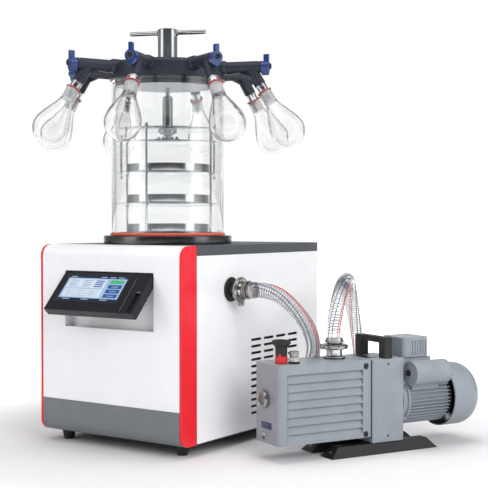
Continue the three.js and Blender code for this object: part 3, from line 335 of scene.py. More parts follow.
def finish_of(name, rgb, rough, metal=0.0, mottle=0.03, patch=22, grain=0.0, fine=1400, span=0.06,
              stretch=(1, 1, 1), depth=0.0002, **sockets):
    """A finish whose colour drifts in soft patches, with a fine grain in its gloss and its surface."""
    material = bpy.data.materials.new(name)
    material.use_nodes = True
    tree = material.node_tree
    link = tree.links.new
    shader = tree.nodes["Principled BSDF"].inputs
    shader["Metallic"].default_value = metal
    for socket, value in sockets.items():
        shader[SOCKETS[socket]].default_value = value
    where = node(tree, "TexCoord").outputs["Object"]
    laid = node(tree, "Mapping", Scale=stretch)
    link(where, laid.inputs["Vector"])

    soft = node(tree, "TexNoise", Scale=patch, Detail=3)
    link(where, soft.inputs["Vector"])
    ramp = node(tree, "ValToRGB")
    for element, place, share in zip(ramp.color_ramp.elements, (0.3, 0.7), (1 - mottle, 1 + mottle)):
        element.position = place
        element.color = linear(rgb, share)
    link(soft.outputs["Fac"], ramp.inputs["Fac"])
    link(ramp.outputs["Color"], shader["Base Color"])

    hard = node(tree, "TexNoise", Scale=fine, Detail=2)
    link(laid.outputs["Vector"], hard.inputs["Vector"])
    gloss = ranged(tree, hard.outputs["Fac"], To_Min=max(0.0, rough - span), To_Max=min(1.0, rough + span))
    link(gloss, shader["Roughness"])
    if grain:
        bump = node(tree, "Bump", Strength=grain, Distance=depth)
        link(hard.outputs["Fac"], bump.inputs["Height"])
        link(bump.outputs["Normal"], shader["Normal"])
    return material


def clear_of(name, rgb, rough, ior, fine, span=0.02):
    """Clear glass, with slight waves in its surface."""
    return finish_of(name, rgb, rough, mottle=0.01, patch=15, grain=0.02, fine=fine, span=span, depth=0.001,
                     clear=1.0, ior=ior)


def painted_edge_shade(material, tint=(58, 62, 66)):
    """The clear finish, with a painted dark line where the glass is seen edge-on: painted shade that stands
    in for the dark edge thick glass shows.
    """
    tree = material.node_tree
    link = tree.links.new
    shader = tree.nodes["Principled BSDF"].inputs
    # painted shade: towards the edges the colour goes to the dark tint and the glass grows less clear
    rim = ranged(tree, node(tree, "LayerWeight").outputs["Facing"], From_Min=0.64, From_Max=0.9)
    colour = node(tree, "Mix")
    colour.data_type = "RGBA"
    link(rim, colour.inputs["Factor"])
    link(shader["Base Color"].links[0].from_socket, colour.inputs["A"])
    colour.inputs["B"].default_value = linear(tint)
    link(colour.outputs["Result"], shader["Base Color"])
    for socket, plain, edge in (("clear", 1.0, 0.3), ("spec", 0.5, 0.0)):
        link(ranged(tree, rim, To_Min=plain, To_Max=edge), shader[SOCKETS[socket]])
    return material


WHITE = finish_of("cabinet_white", (238, 239, 241), 0.38, mottle=0.008, grain=0.12, fine=900, coat=0.15,
                  coat_rough=0.25)
RED = finish_of("trim_red", (228, 30, 44), 0.34, grain=0.06, fine=700, spec=0.3, coat=0.1, coat_rough=0.12)
TOP_GREY = finish_of("top_grey", (76, 80, 85), 0.5, grain=0.25, fine=1100, spec=0.25)
KICK_GREY = finish_of("kick_grey", (112, 116, 121), 0.36, mottle=0.02, grain=0.15, fine=1100, spec=0.3)
BLACK_PAINT = finish_of("black_paint", (18, 19, 21), 0.5, mottle=0.08, grain=0.3, fine=900)
FINS = finish_of("condenser_metal", (178, 181, 184), 0.4, 0.8, mottle=0.06, grain=0.2)
TURNED = finish_of("turned_steel", (176, 178, 181), 0.22, 1.0, grain=0.08, fine=900, span=0.1,
                   stretch=(0.02, 0.02, 1.0))
POLISHED = finish_of("polished_steel", (184, 186, 189), 0.12, 1.0, mottle=0.02, span=0.05, fine=500)
NICKEL = finish_of("satin_nickel", (150, 148, 145), 0.3, 1.0, mottle=0.05, grain=0.1, span=0.1, fine=700)
RUBBER = finish_of("black_rubber", (24, 24, 26), 0.62, mottle=0.1, grain=0.35, fine=1200)
HOUSING = finish_of("housing_black", (20, 22, 27), 0.34, mottle=0.05, grain=0.2, fine=1600, spec=0.3)
FLANGE = finish_of("flange_black", (16, 17, 20), 0.2, mottle=0.06, fine=300, span=0.04, spec=1.0)
GASKET = finish_of("gasket_orange", (226, 98, 78), 0.5, mottle=0.05, grain=0.2, fine=500, under=0.1)
ACRYLIC = finish_of("clear_acrylic", (251, 252, 252), 0.0, mottle=0.004, patch=15, grain=0.01, fine=12,
                    span=0.004, depth=0.001, clear=1.0, ior=1.14, coat=0.8, coat_rough=0.0)
SLATE = finish_of("manifold_slate", (42, 46, 56), 0.4, mottle=0.05, grain=0.18, fine=1000, spec=0.3)
LID_LINER = finish_of("lid_liner", (226, 228, 231), 0.7, mottle=0.02, grain=0.1, fine=1000, spec=0.1)
KNOB_BLUE = finish_of("knob_blue", (26, 54, 112), 0.3, mottle=0.05, grain=0.05, fine=600, coat=0.3,
                      coat_rough=0.15)
KNOB_RIM = finish_of("knob_rim", (70, 88, 128), 0.35, mottle=0.05, fine=600)
# the flask glass takes a painted dark edge (painted shade)
GLASS = painted_edge_shade(clear_of("flask_glass", (251, 251, 251), 0.0, 1.3, 18, 0.006))
FROSTED = finish_of("ground_glass", (244, 245, 246), 0.34, mottle=0.02, grain=0.3, fine=900, clear=0.8,
    ior=1.4)
PUMP_PAINT = finish_of("pump_paint", (136, 143, 150), 0.38, grain=0.35, fine=420, depth=0.0004)
BALLAST_RED = finish_of("ballast_red", (200, 34, 44), 0.35, mottle=0.04, grain=0.05)
PVC = finish_of("clear_hose", (244, 246, 247), 0.08, mottle=0.02, patch=15, grain=0.03, fine=90, span=0.03,
                depth=0.0006, clear=0.88, ior=1.04, coat=0.6, coat_rough=0.1)
WIRE = finish_of("hose_wire", (58, 62, 66), 0.4, 0.3, mottle=0.05, fine=400)
LINE_BLUE = finish_of("hose_blue", (44, 50, 104), 0.4, mottle=0.05)
SEAL = finish_of("seal_red", (168, 70, 62), 0.45, mottle=0.05, grain=0.1, fine=500)

# ------------------------------------------------------------------ camera and light

AZIMUTH, PITCH = math.radians(34.11), math.radians(1.147)
EYE = HOME @ Vector((1561.96, -1992.96, 491.74))
SENSOR, FOCAL, PICTURE = 36, 1094.8, 488  # mm, and two in pixels: fitted to the photograph
WORLD_LIGHT = 0.56
STRIP = 2.4
# levels of the room that only mirrors see, from straight past the part (0) to back at the camera (1)
ROOM = [(0.0, 0.9), (0.06, 0.9), (0.10, 0.25), (0.40, 0.32), (0.56, 0.5), (0.62, STRIP), (0.78, STRIP),
        (0.81, 0.25), (0.86, 0.1)]


def camera():
    data = bpy.data.cameras.new("camera")
    data.sensor_width = SENSOR
    data.lens = SENSOR * FOCAL / PICTURE
    data.clip_end = 60
    level = math.cos(PITCH)
    ahead = Vector((-math.sin(AZIMUTH) * level, math.cos(AZIMUTH) * level, -math.sin(PITCH)))
    right = Vector((math.cos(AZIMUTH), math.sin(AZIMUTH), 0))
    made = placed("camera", data)
    looking = Matrix((right, right.cross(ahead), -ahead)).transposed().to_4x4()
    made.matrix_world = Matrix.Translation(EYE) @ looking
    bpy.context.scene.camera = made


def lamp(name, place, aim, size, power):
    data = bpy.data.lights.new(name, "AREA")
    data.shape = "RECTANGLE"
    data.size, data.size_y = size
    data.energy = power
    made = placed(name, data)
    made.location = place
    made.rotation_euler = (Vector(aim) - Vector(place)).to_track_quat("-Z", "Z").to_euler()
    made.visible_glossy = made.visible_transmission = False


def floor_finish():
    """White paper: its own colour takes the shadow, and a little of its own light lifts it to white."""
    material = bpy.data.materials.new("floor")
    material.use_nodes = True
    tree = material.node_tree
    shader = tree.nodes["Principled BSDF"].inputs
    shader["Base Color"].default_value = (0.74, 0.74, 0.75, 1)
    shader["Roughness"].default_value = 0.9
    shader["Specular IOR Level"].default_value = 0.0
    shader["Emission Color"].default_value = (1, 1, 1, 1)
    far = worked(tree, "LENGTH", node(tree, "NewGeometry").outputs["Position"], kind="VectorMath")
    lift = ranged(tree, far, "SMOOTHSTEP", From_Min=0.5, From_Max=1.3)
    seen = rays(tree, "Is Camera Ray", "Is Transmission Ray", "Is Glossy Ray")
    tree.links.new(worked(tree, "MULTIPLY", lift, seen), shader["Emission Strength"])
    return material


def studio():
    """Plain light for matt surfaces and a white background, a room of strips that only mirrors see,
    three lamps and a paper floor."""
    bpy.context.scene.view_settings.view_transform = "Standard"
    world = bpy.data.worlds.new("world")
    bpy.context.scene.world = world
    world.use_nodes = True
    tree = world.node_tree
    link = tree.links.new
    background = tree.nodes["Background"].inputs
    background["Color"].default_value = (1, 1, 1, 1)
    towards_camera = (math.sin(AZIMUTH), -math.cos(AZIMUTH), 0)
    where = node(tree, "TexCoord").outputs["Generated"]
    along = worked(tree, "DOT_PRODUCT", where, towards_camera, "VectorMath")
    room = node(tree, "ValToRGB")
    room.color_ramp.interpolation = "EASE"
    elements = room.color_ramp.elements
    while len(elements) < len(ROOM):
        elements.new(0.5)
    for element, (place, level) in zip(elements, ROOM):
        element.position = place
        element.color = (level, level, level, 1)
    link(ranged(tree, along, From_Min=-1.0), room.inputs["Fac"])
    choice = node(tree, "Mix")
    choice.data_type = "FLOAT"
    link(worked(tree, "MINIMUM", rays(tree, "Glossy Depth"), 1.0), choice.inputs["Factor"])
    seen = rays(tree, "Is Camera Ray", "Is Transmission Ray")
    link(ranged(tree, seen, To_Min=WORLD_LIGHT, To_Max=1.0), choice.inputs["A"])
    link(room.outputs["Color"], choice.inputs["B"])
    link(choice.outputs["Result"], background["Strength"])

    lamp("key", (-1.9, -2.6, 1.5), (0, 0, 0.45), (1.5, 1.5), 20)
    lamp("fill", (2.6, -1.2, 1.6), (0.1, 0, 0.4), (1.6, 2.0), 56)
    lamp("over", (0.1, 0.1, 2.6), (0.1, 0.1, 0.3), (1.6, 1.6), 34)

    data = bpy.data.meshes.new("floor")
    data.from_pydata([(-9, -9, 0), (9, -9, 0), (9, 9, 0), (-9, 9, 0)], [], [(0, 1, 2, 3)])
    data.materials.append(floor_finish())
    placed("floor", data)


camera()
studio()

# ------------------------------------------------------------------ hose

HOSE_RADIUS = 16
HOSE_TWIST = math.radians(485)  # how far the coloured lines wind round the hose, port to pump
HOSE_LINES = (("hose_line_red", 0.56, BALLAST_RED), ("hose_line_rose", 0.28, BALLAST_RED),
    ("hose_line_blue", 1.31, LINE_BLUE), ("hose_line_black", 1.85, LINE_BLUE))
HOSE = [(266.6, -33, 345), (286, -33, 345), (324, -30, 335), (359, -18, 304), (372, 14, 260),
    (354, 60, 213), (333, 78, 160), (323, 89, 106), (323, 114, 60), (327, 154, 28), (329, 202, 17),
    (328, 251, 26), (326, 295, 52), (324, 326, 95), (321, 339, 146), (317, 335, 200), (316, 319, 250),
    (320, 295, 298), (333, 260, 336), (354, 214, 357), (376, 165, 361), (393, 117, 350), (405, 79, 323),
    (411, 55, 286), (411.845, 49.24, 261.6), (411.845, 49.24, 245.6)]


def centripetal(points, steps):
    """The centripetal Catmull-Rom curve through the points, the same as the source's."""
    points = [Vector(p) for p in points]
    points = [2 * points[0] - points[1], *points, 2 * points[-1] - points[-2]]
    out = []
    for k in range(1, len(points) - 2):
        p0, p1, p2, p3 = points[k - 1 : k + 3]
        d0, d1, d2 = [math.sqrt((b - a).length) for a, b in ((p0, p1), (p1, p2), (p2, p3))]
        t1 = ((p1 - p0) / d0 - (p2 - p0) / (d0 + d1) + (p2 - p1) / d1) * d1
        t2 = ((p2 - p1) / d1 - (p3 - p1) / (d1 + d2) + (p3 - p2) / d2) * d1
        for s in range(steps):
            t = s / steps
            a = 2 * p1 - 2 * p2 + t1 + t2
            b = -3 * p1 + 3 * p2 - 2 * t1 - t2
            out.append(p1 + t1 * t + b * t * t + a * t**3)
    out.append(points[-2])
    return out


def hose():
    path = centripetal(HOSE, 12)
    steps = [0.0]
    for a, b in zip(path, path[1:]):
        steps.append(steps[-1] + (b - a).length)
    frames = carried_frames(path)

    def at(length, out, angle):
        """A point at a distance along the hose, off its middle line by out at an angle."""
        k = max(i for i, s in enumerate(steps[:-1]) if s <= length)
        share = (length - steps[k]) / (steps[k + 1] - steps[k])
        side = frames[k][0].lerp(frames[k + 1][0], share)
        up = frames[k][1].lerp(frames[k + 1][1], share)
        return path[k].lerp(path[k + 1],
            share) + side * (out * math.cos(angle)) + up * (out * math.sin(angle))

    wall = Form(PVC).tube(path, HOSE_RADIUS, 32)
    wall_piece = wall.piece("hose_wall", "clear_hose", "hose", 60)

    wire = Form(WIRE)
    pitch, inset, sides = 5.8, 1.8, 14
    count = int((steps[-1] - 4) / pitch) * sides
    coil = [at(2 + pitch * k / sides, HOSE_RADIUS - inset, 2 * math.pi * k / sides) for k in range(count)]
    wire.tube(coil, 0.5, 5)
    wire_piece = wire.piece("hose_wire", "polished_steel", sharp=60)

    for name, angle, tint in HOSE_LINES:
        line = Form(tint)
        parts = 240
        run = [at(1 + (steps[-1] - 2) * k / parts, HOSE_RADIUS - 0.2, angle + HOSE_TWIST * k / parts)
               for k in range(parts + 1)]
        line.tube(run, 0.85, 6)
        line.piece(name, "clear_hose", sharp=60)


hose()

# ------------------------------------------------------------------ cabinet

FRONT, TOP, HALF, BEND = -209, 442, 200, 25
TRIM_BACK, KICK_TOP, BOTTOM = -157, 98, 24
INNER = HALF - 7
RECESS = (-125, 125, 262, 385, 23)  # left, right, bottom, top, depth


def front_panel():
    left, right, bottom, top, depth = RECESS
    skin = bmesh.new()
    cuts = [(TRIM_BACK, TOP)] + arc(FRONT + BEND, TOP - BEND, BEND, 90, 180, 12)
    cuts += [(FRONT, top), (FRONT, bottom), (FRONT, KICK_TOP + 0.3)]
    columns = [-INNER + 0.3, left, right, INNER - 0.3]
    grid = [[skin.verts.new((x, y, z)) for x in columns] for y, z in cuts]
    hole = len(cuts) - 3
    for k in range(len(cuts) - 1):
        for c in range(3):
            if k == hole and c == 1:
                continue
            skin.faces.new((grid[k][c], grid[k][c + 1], grid[k + 1][c + 1], grid[k + 1][c]))
    lip = [grid[hole][1], grid[hole][2], grid[hole + 1][2], grid[hole + 1][1]]
    rear = [skin.verts.new((v.co.x, FRONT + depth, v.co.z)) for v in lip]
    for k in range(4):
        n = (k + 1) % 4
        skin.faces.new((lip[k], lip[n], rear[n], rear[k]))
    skin.faces.new(rear)
    bmesh.ops.recalc_face_normals(skin, faces=list(skin.faces))
    form = Form(WHITE).take(skin)
    made = form.piece("front_sheet", "cabinet_white", "front_panel", 40)
    wall = made.modifiers.new("wall", "SOLIDIFY")
    wall.thickness = 2 * MM
    wall.offset = -1
    round_edges(made, 1.2, 3, 50)


def kick_panel():
    outline = [(FRONT, KICK_TOP)] + arc(FRONT + BEND, BOTTOM + BEND, BEND, 180, 270, 12)
    outline += arc(FRONT + BEND, BOTTOM + BEND, BEND - 2, 270, 180, 12) + [(FRONT + 2, KICK_TOP)]
    form = Form(KICK_GREY).prism(outline, -INNER + 0.3, INNER - 0.3, "X")
    form.piece("kick_sheet", "kick_grey", "kick_panel", 25)


def trims():
    for side, x in (("left", -HALF), ("right", INNER)):
        outline = [(TRIM_BACK, TOP)] + arc(FRONT + BEND, TOP - BEND, BEND, 90, 180, 16)
        outline += arc(FRONT + BEND, BOTTOM + BEND, BEND, 180, 270, 16) + [(TRIM_BACK, BOTTOM)]
        form = Form(RED).prism(outline, x, x + 7, "X")
        form.piece(f"trim_{side}_moulding", "trim_red", f"trim_{side}", 25, bevel=1.6)


def slot_shade_sheets():
    """A black slab inside, behind the air slots of both sides: a dark sheet that paints the shade seen
    through the slots.
    """
    for name, x in (("slot_shade_right", 189), ("slot_shade_left", -192)):
        # painted shade: black rubber where the inside of the cabinet is only in shade
        form = Form(RUBBER).slab((x, x + 3), (38, 254), (52, 236), 0.6)
        form.piece(name, "black_rubber")


def feet():
    for k, (x, y) in enumerate([(162, -158), (-162, -158), (162, 300), (-162, 300)]):
        form = Form(RUBBER, POLISHED).lathe([(0, 0), (11.2, 0, 1.2), (15.2, 21), (15.2, 24.0), (0, 24.0)],
            40, move(x, y))
        form.mark(1).lathe([(0, 24), (16.4, 24, 0.5), (16.4, 25.6, 0.5), (0, 25.6)], 40, move(x, y))
        form.piece(f"foot_{k + 1}", "black_rubber")


def panel_screws():
    """The small button-head screws that hold the side and rear panels."""
    form = Form(WHITE)
    head = [(0, -0.4), (3.4, -0.4), (3.4, 0.5, 0.5), (2.2, 1.5, 0.8), (0, 1.7)]
    for side, x in ((90, HALF), (-90, -HALF)):
        for y, z in ((-145, 60), (-145, 400), (325, 60), (325, 400)):
            form.lathe(head, 16, move(x, y, z) @ turn(side, "Y"))
    for x in (-185, 185):
        for z in (50, 230, 405):
            form.lathe(head, 16, move(x, BACK, z) @ turn(-90, "X"))
    form.piece("panel_screws", "cabinet_white")


def carry_over():
    """CAD nodes whose shape is right take a finish, and a small round on their edges."""
    finishes = {"base_pan": (BLACK_PAINT, 0.6), "side_panel_left": (WHITE, 0.6),
        "side_panel_right": (WHITE, 0.6), "rear_panel": (WHITE, 0.6), "top_plate": (TOP_GREY, 1.2),
        "compressor": (BLACK_PAINT, 1.0), "condenser": (FINS, 0.4)}
    for node, (material, width) in finishes.items():
        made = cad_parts[node]
        made.data.materials.clear()
        made.data.materials.append(material)
        round_edges(made, width)


front_panel()
kick_panel()
trims()
slot_shade_sheets()
feet()
panel_screws()
carry_over()

# ------------------------------------------------------------------ screen

GLASS_LEFT, GLASS_RIGHT, GLASS_TOP, GLASS_FOOT = -110, 72, -4, -82
PLATE_TOP, PLATE_FOOT, PLATE_BACK, PLATE_FACE = 5, -105, 15, -5

UI_DARK = finish_of("display_header", (16, 36, 72), 0.2, mottle=0.05)
UI_PALE = finish_of("display_body", (158, 184, 214), 0.2, mottle=0.03)
UI_WHITE = finish_of("display_panel", (202, 216, 232), 0.2, mottle=0.02)
UI_LINE = finish_of("display_line", (96, 124, 160), 0.2, mottle=0.03)
UI_GREEN = finish_of("display_green", (70, 180, 120), 0.2, mottle=0.04)
UI_BLUE = finish_of("display_button", (40, 84, 150), 0.2, mottle=0.04)
COVER = finish_of("display_glass", (14, 20, 30), 0.06, mottle=0.05, fine=300, span=0.03,
    coat=0.5, coat_rough=0.03)


def screen_housing():
    outline = [(PLATE_BACK, PLATE_TOP)] + arc(0, 0, 5, 90, 180, 10)
    outline += [(PLATE_FACE, PLATE_FOOT), (PLATE_BACK, PLATE_FOOT)]
    form = Form(HOUSING).prism(outline, -124, 124, "X")
    made = form.piece("screen_case", "housing_black", "screen_housing", 30, local=SCREEN, body="screen")
    tool = Form(HOUSING).prism(rectangle(105, 118, -99, -47, 2.2), PLATE_FACE - 2, PLATE_FACE + 7, "Y")
    seat = rectangle(GLASS_LEFT - 0.3, GLASS_RIGHT + 0.3, GLASS_FOOT - 0.3, GLASS_TOP + 0.3, 1.5)
    tool.prism(seat, PLATE_FACE - 2, PLATE_FACE + 2.3, "Y")
    carve(made, tool, SCREEN)
    round_edges(made, 1.4, 3, 40)
    trim = Form(POLISHED, BLACK_PAINT, RUBBER).prism(rectangle(87, 88.2, -100, -12, 0.4), PLATE_FACE - 0.25,
        PLATE_FACE + 0.5, "Y")
    trim.prism(rectangle(105.4, 117.6, -50.2, -47.4, 0.6), PLATE_FACE + 0.2, PLATE_FACE + 6.6, "Y")
    trim.mark(1).prism(rectangle(-58, 58, -92, -18, 4), PLATE_BACK - 0.4, PLATE_BACK + 0.15, "Y")
    trim.mark(2)
    for x in (-127.2, 126.3):
        trim.rod(4.2, x, x + 0.9, 32, 0.2, turn(90, "Y"))
    trim.piece("screen_case_trim", "polished_steel", local=SCREEN, body="screen")


def display():
    """The touch screen: a dark cover glass with plain bars, tiles and buttons behind it."""
    form = Form(COVER, UI_DARK, UI_PALE, UI_WHITE, UI_LINE, UI_GREEN, UI_BLUE)
    wide, tall = GLASS_RIGHT - GLASS_LEFT, GLASS_TOP - GLASS_FOOT
    form.prism(rectangle(GLASS_LEFT, GLASS_RIGHT, GLASS_FOOT, GLASS_TOP, 1.2), PLATE_FACE + 0.1,
        PLATE_FACE + 2, "Y")
    left, foot = GLASS_LEFT + 0.045 * wide, GLASS_FOOT + 0.07 * tall
    wide, tall = wide * 0.91, tall * 0.86

    def tile(paint, u0, u1, v0, v1, lift, corner=0.4):
        """A flat tile from fractions of the display, u rightwards and v upwards."""
        x = (left + u0 * wide, left + u1 * wide)
        z = (foot + v0 * tall, foot + v1 * tall)
        form.mark(paint).prism(rectangle(*x, *z, corner), PLATE_FACE + 0.1 - lift, PLATE_FACE + 0.12, "Y")

    tile(2, 0, 1, 0, 1, 0.05)
    tile(1, 0, 1, 0.9, 1, 0.1)
    tile(1, 0, 1, 0, 0.09, 0.1)
    for u in (0.03, 0.55, 0.7, 0.84):
        tile(2, u, u + 0.1, 0.935, 0.965, 0.13, 0.1)
    for u in (0.08, 0.4, 0.72):
        tile(2, u, u + 0.12, 0.03, 0.06, 0.13, 0.1)
    tile(3, 0.03, 0.68, 0.5, 0.86, 0.1)
    tile(3, 0.03, 0.68, 0.13, 0.46, 0.1)
    for k in range(4):
        tile(4, 0.06, 0.2, 0.56 + 0.075 * k, 0.58 + 0.075 * k, 0.13, 0.1)
        tile(4, 0.3, 0.42 + 0.02 * (k % 2), 0.56 + 0.075 * k, 0.58 + 0.075 * k, 0.13, 0.1)
        tile(6, 0.5, 0.64, 0.55 + 0.075 * k, 0.59 + 0.075 * k, 0.13, 0.3)
    for k in range(3):
        tile(4, 0.06, 0.64, 0.19 + 0.09 * k, 0.196 + 0.09 * k, 0.13, 0.05)
        tile(4, 0.12 + 0.2 * k, 0.125 + 0.2 * k, 0.16, 0.43, 0.13, 0.05)
    tile(5, 0.74, 0.97, 0.7, 0.85, 0.12, 1.0)
    for k in range(3):
        tile(6, 0.74, 0.97, 0.14 + 0.185 * k, 0.29 + 0.185 * k, 0.12, 1.0)
        tile(2, 0.8, 0.91, 0.2 + 0.185 * k, 0.225 + 0.185 * k, 0.15, 0.1)
    form.piece("display", "screen_glass", "screen_glass", 30, local=SCREEN, body="screen")


screen_housing()
display()

# ------------------------------------------------------------------ port and its coupling


def coupling(name, node, local, grip, length):
    """A clamped hose end about local Z: hinged clamp, short neck, ferrule and the nut that shuts it."""
    form = Form(NICKEL, TURNED)
    clamp = grip + 7
    form.mark(0).ring([(grip, -4.6, 0.5), (clamp - 3, -5, 1), (clamp, -2.4, 1.2), (clamp, 2.4, 1.2),
        (clamp - 3, 5, 1), (grip - 2, 4.4, 0.5), (grip - 2, 1, 0.3), (grip, 0.6, 0.3)], 64)
    neck = min(7.0, length - 12)
    form.mark(1).ring([(12, 0.2), (grip - 2.4, 0.2, 0.4), (grip - 2.4, 3, 0.6), (15, neck, 1),
        (15, length - 11, 1), (18, length - 11, 0.8), (18, length, 0.8), (12, length)], 64)
    form.mark(0)
    for share, out in ((0.27, 4.8), (0.42, 5.8), (0.58, 3.4)):
        ring, inner = neck + share * (length - neck), 14.6
        form.ring([(inner, ring - 1.5), (inner + out, ring - 1.5, 0.7), (inner + out, ring + 1.5, 0.7),
            (inner, ring + 1.5)], 48)
    for angle in (60, 180, 300):
        form.slab((clamp - 4.5, clamp + 0.4), (-3.4, 3.4), (-5.0, 5.0), 1.0, 2, turn(angle, "Z"))
    form.slab((clamp - 2, clamp + 8), (-7.5, -1.2), (-4, 4), 1.2, 2)
    form.slab((clamp - 2, clamp + 8), (1.2, 7.5), (-4, 4), 1.2, 2)
    bolt = move(clamp + 4.2, 0, 0) @ turn(90, "X")
    form.rod(2.1, -9, 9, 20, 0.4, bolt)
    form.hexagon(3.6, -8.6, -5.8, bolt, 0.5)
    wing = [(5.8, -3.2, 1), (5.8, 3.2, 1), (8.9, 4.3, 1), (8.9, -4.3, 1)]
    form.prism(wing, -1.6, 1.6, "X", move(clamp + 4.2))
    form.piece(name, "polished_steel", node, 30, local=local)


def port():
    bush = Form(RUBBER).ring([(14.3, 196), (22.4, 196), (22.4, 200.3), (27, 200.3, 0.6), (27, 202.3, 1.2),
        (24.5, 204.3, 1.0), (14.3, 204.3, 0.5)], 72, PORT)
    bush.piece("port_grommet", "black_rubber", "port_bush", 40)
    pipe = Form(TURNED).ring([(12, 104), (14, 104), (14, 221, 0.8), (20, 223, 0.5), (20, 226, 0.4),
        (12, 226)], 64, PORT)
    pipe.piece("port_tube", "steel", "port_pipe", 30)
    coupling("port_clamp", "port_coupling", PORT @ move(z=226.3), 20.3, 40)


def cold_trap():
    form = Form(TURNED).lathe([(0, 230), (102, 230, 6), (102, 459.6), (107.7, 459.6, 0.3),
        (107.7, 461.3, 0.3), (100, 461.3, 0.5), (100, 232, 5), (0, 232)], 96)
    form.piece("trap_well", "steel", "cold_trap", 30)


port()
cold_trap()

# ------------------------------------------------------------------ chamber

FLANGE_TOP, GASKET_TOP, CHAMBER_FOOT, CHAMBER_TOP = 461.3, 467.6, 467.9, 814.3
LID_FOOT, LID_TOP, LINER_TOP = 814.6, 852.6, 798


def base_ring():
    form = Form(FLANGE).ring([(103, 442.3), (147, 442.3, 0.8), (147, FLANGE_TOP, 2.2),
        (134, FLANGE_TOP, 0.4), (133.2, FLANGE_TOP - 0.6), (118.6, FLANGE_TOP - 0.6), (118, FLANGE_TOP),
        (108, FLANGE_TOP, 0.5), (108, 459.0), (103, 459.0)], 160)
    form.piece("base_ring", "flange_black", "base_flange", 30)
    seal = Form(GASKET).ring([(119.5, 461.6, 1), (132, 461.6, 1.6), (132, GASKET_TOP, 2.4),
        (119.5, GASKET_TOP, 1)], 160)
    seal.piece("base_seal", "gasket_orange", "base_gasket", 60)


def cylinder():
    form = Form(ACRYLIC).ring([(120.5, CHAMBER_FOOT, 0.6), (128.5, CHAMBER_FOOT, 0.6),
        (128.5, CHAMBER_TOP, 0.6), (120.5, CHAMBER_TOP, 0.6)], 192, steps=3)
    form.piece("clear_cylinder", "clear_acrylic", "chamber_cylinder", 40)
    joint = Form(RUBBER).ring(arc(120.25, 806, 0.9, 0, 330, 10), 128)
    joint.piece("lid_seal", "black_rubber")


# ------------------------------------------------------------------ lid, arms and branches


def arm(form, place):
    """One arm of the manifold with the slanted branch under it, and the branch's sleeve and seal."""
    form.mark(0).lathe([(0, 118), (16.5, 118), (16.5, 137, 3), (13.5, 143, 4), (13.5, 214),
        (12.2, 216, 0.5), (12.2, 218, 0.5), (13.5, 218.6, 0.4), (13.5, 222, 0.6), (0, 222)], 40,
        place @ turn(90, "Y"), steps=4)
    down = place @ BRANCH
    form.lathe([(0, -2), (13.2, -2), (13.2, 48, 0.6), (0, 48)], 40, down, steps=3)
    form.slab((-2.2, 2.2), (-13.7, 13.7), (12, 48.0), 0.7, 2, down)
    web = [(-42, 2, 1), (0, 2, 1), (14, -20, 2), (10, -22, 1), (-14, -13, 3), (-42, -16, 1)]
    form.prism(web, -2.6, 2.6, "Y", place @ move(185))
    form.mark(1).lathe([(0, 48), (11.7, 48, 0.3), (11.7, 64, 0.5), (0, 64)], 40, down, steps=3)
    form.lathe([(0, 51.4), (12.4, 51.4, 0.4), (12.4, 53.4, 0.4), (0, 53.4)], 40, down, steps=3)
    form.mark(2).lathe([(0, 65.2), (17, 65.2, 0.9), (17, 67.8, 1.0), (0, 67.8)], 40, down, steps=4)
    form.mark(1).lathe([(0, 64), (14.6, 64, 0.4), (14.6, 65.2, 0.3), (0, 65.2)], 40, down, steps=3)
    form.lathe([(0, 67.8), (10.2, 67.8), (9.6, 92, 0.8), (0, 92)], 32, down, steps=3)


def lid():
    form = Form(SLATE, TURNED, SEAL, LID_LINER).ring([(5.4, 796.6, 0.5), (120, 796.6, 1.2),
        (120, LID_FOOT, 0.4), (133, LID_FOOT, 1.2), (133, 846, 2), (128, LID_TOP, 2.2), (34, LID_TOP, 1),
        (31, LID_TOP - 1.2, 0.8), (5.4, LID_TOP - 1.2)], 144)
    for face in form.mesh.faces:
        face.material_index = 3 * int(face.calc_center_median().z < LINER_TOP)
    for place in ARMS:
        arm(form, place)
    form.piece("lid_and_arms", "manifold_slate", "manifold_lid", 30)


def knob(index):
    """Drop-shaped grip with a lever, a pale rim round its face and the dark vent nozzle in it."""
    form = Form(KNOB_BLUE, RUBBER, KNOB_RIM)
    place = ARMS[index] @ move(222.3)
    grip = arc(0, 0, 13, -25, 205, 28) + arc(0, -15, 4, 205, 335, 12)
    form.prism(grip, 1.2, 17.0, "X", place)
    inner = [(y * 0.86, z * 0.86) for y, z in grip]
    form.prism(inner, 0.0, 17.9, "X", place)
    lever = [(-4.5, 0, 0.5), (4.5, 0, 0.5), (4.5, 28, 1.4), (-4.5, 28, 1.4)]
    form.prism(lever, 5.6, 17.4, "X", place)
    face = place @ move(z=1) @ turn(90, "Y")
    form.mark(2).ring([(6.2, 17), (8.5, 17), (8.5, 19.4, 0.5), (6.2, 19.4, 0.4)], 40, face)
    form.mark(1).ring([(2.4, 17), (6.3, 17), (6.3, 22.3, 0.8), (2.4, 22.3, 0.5), (2.4, 19)], 32, face)
    form.lathe([(0, 18.4), (2.5, 18.4), (2.5, 18.9), (0, 18.9)], 24, face)
    form.piece(f"valve_grip_{index + 1}", "knob_blue", f"valve_knob_{index + 1}", 30,
        body=f"valve_{index + 1}", bevel=0.7)


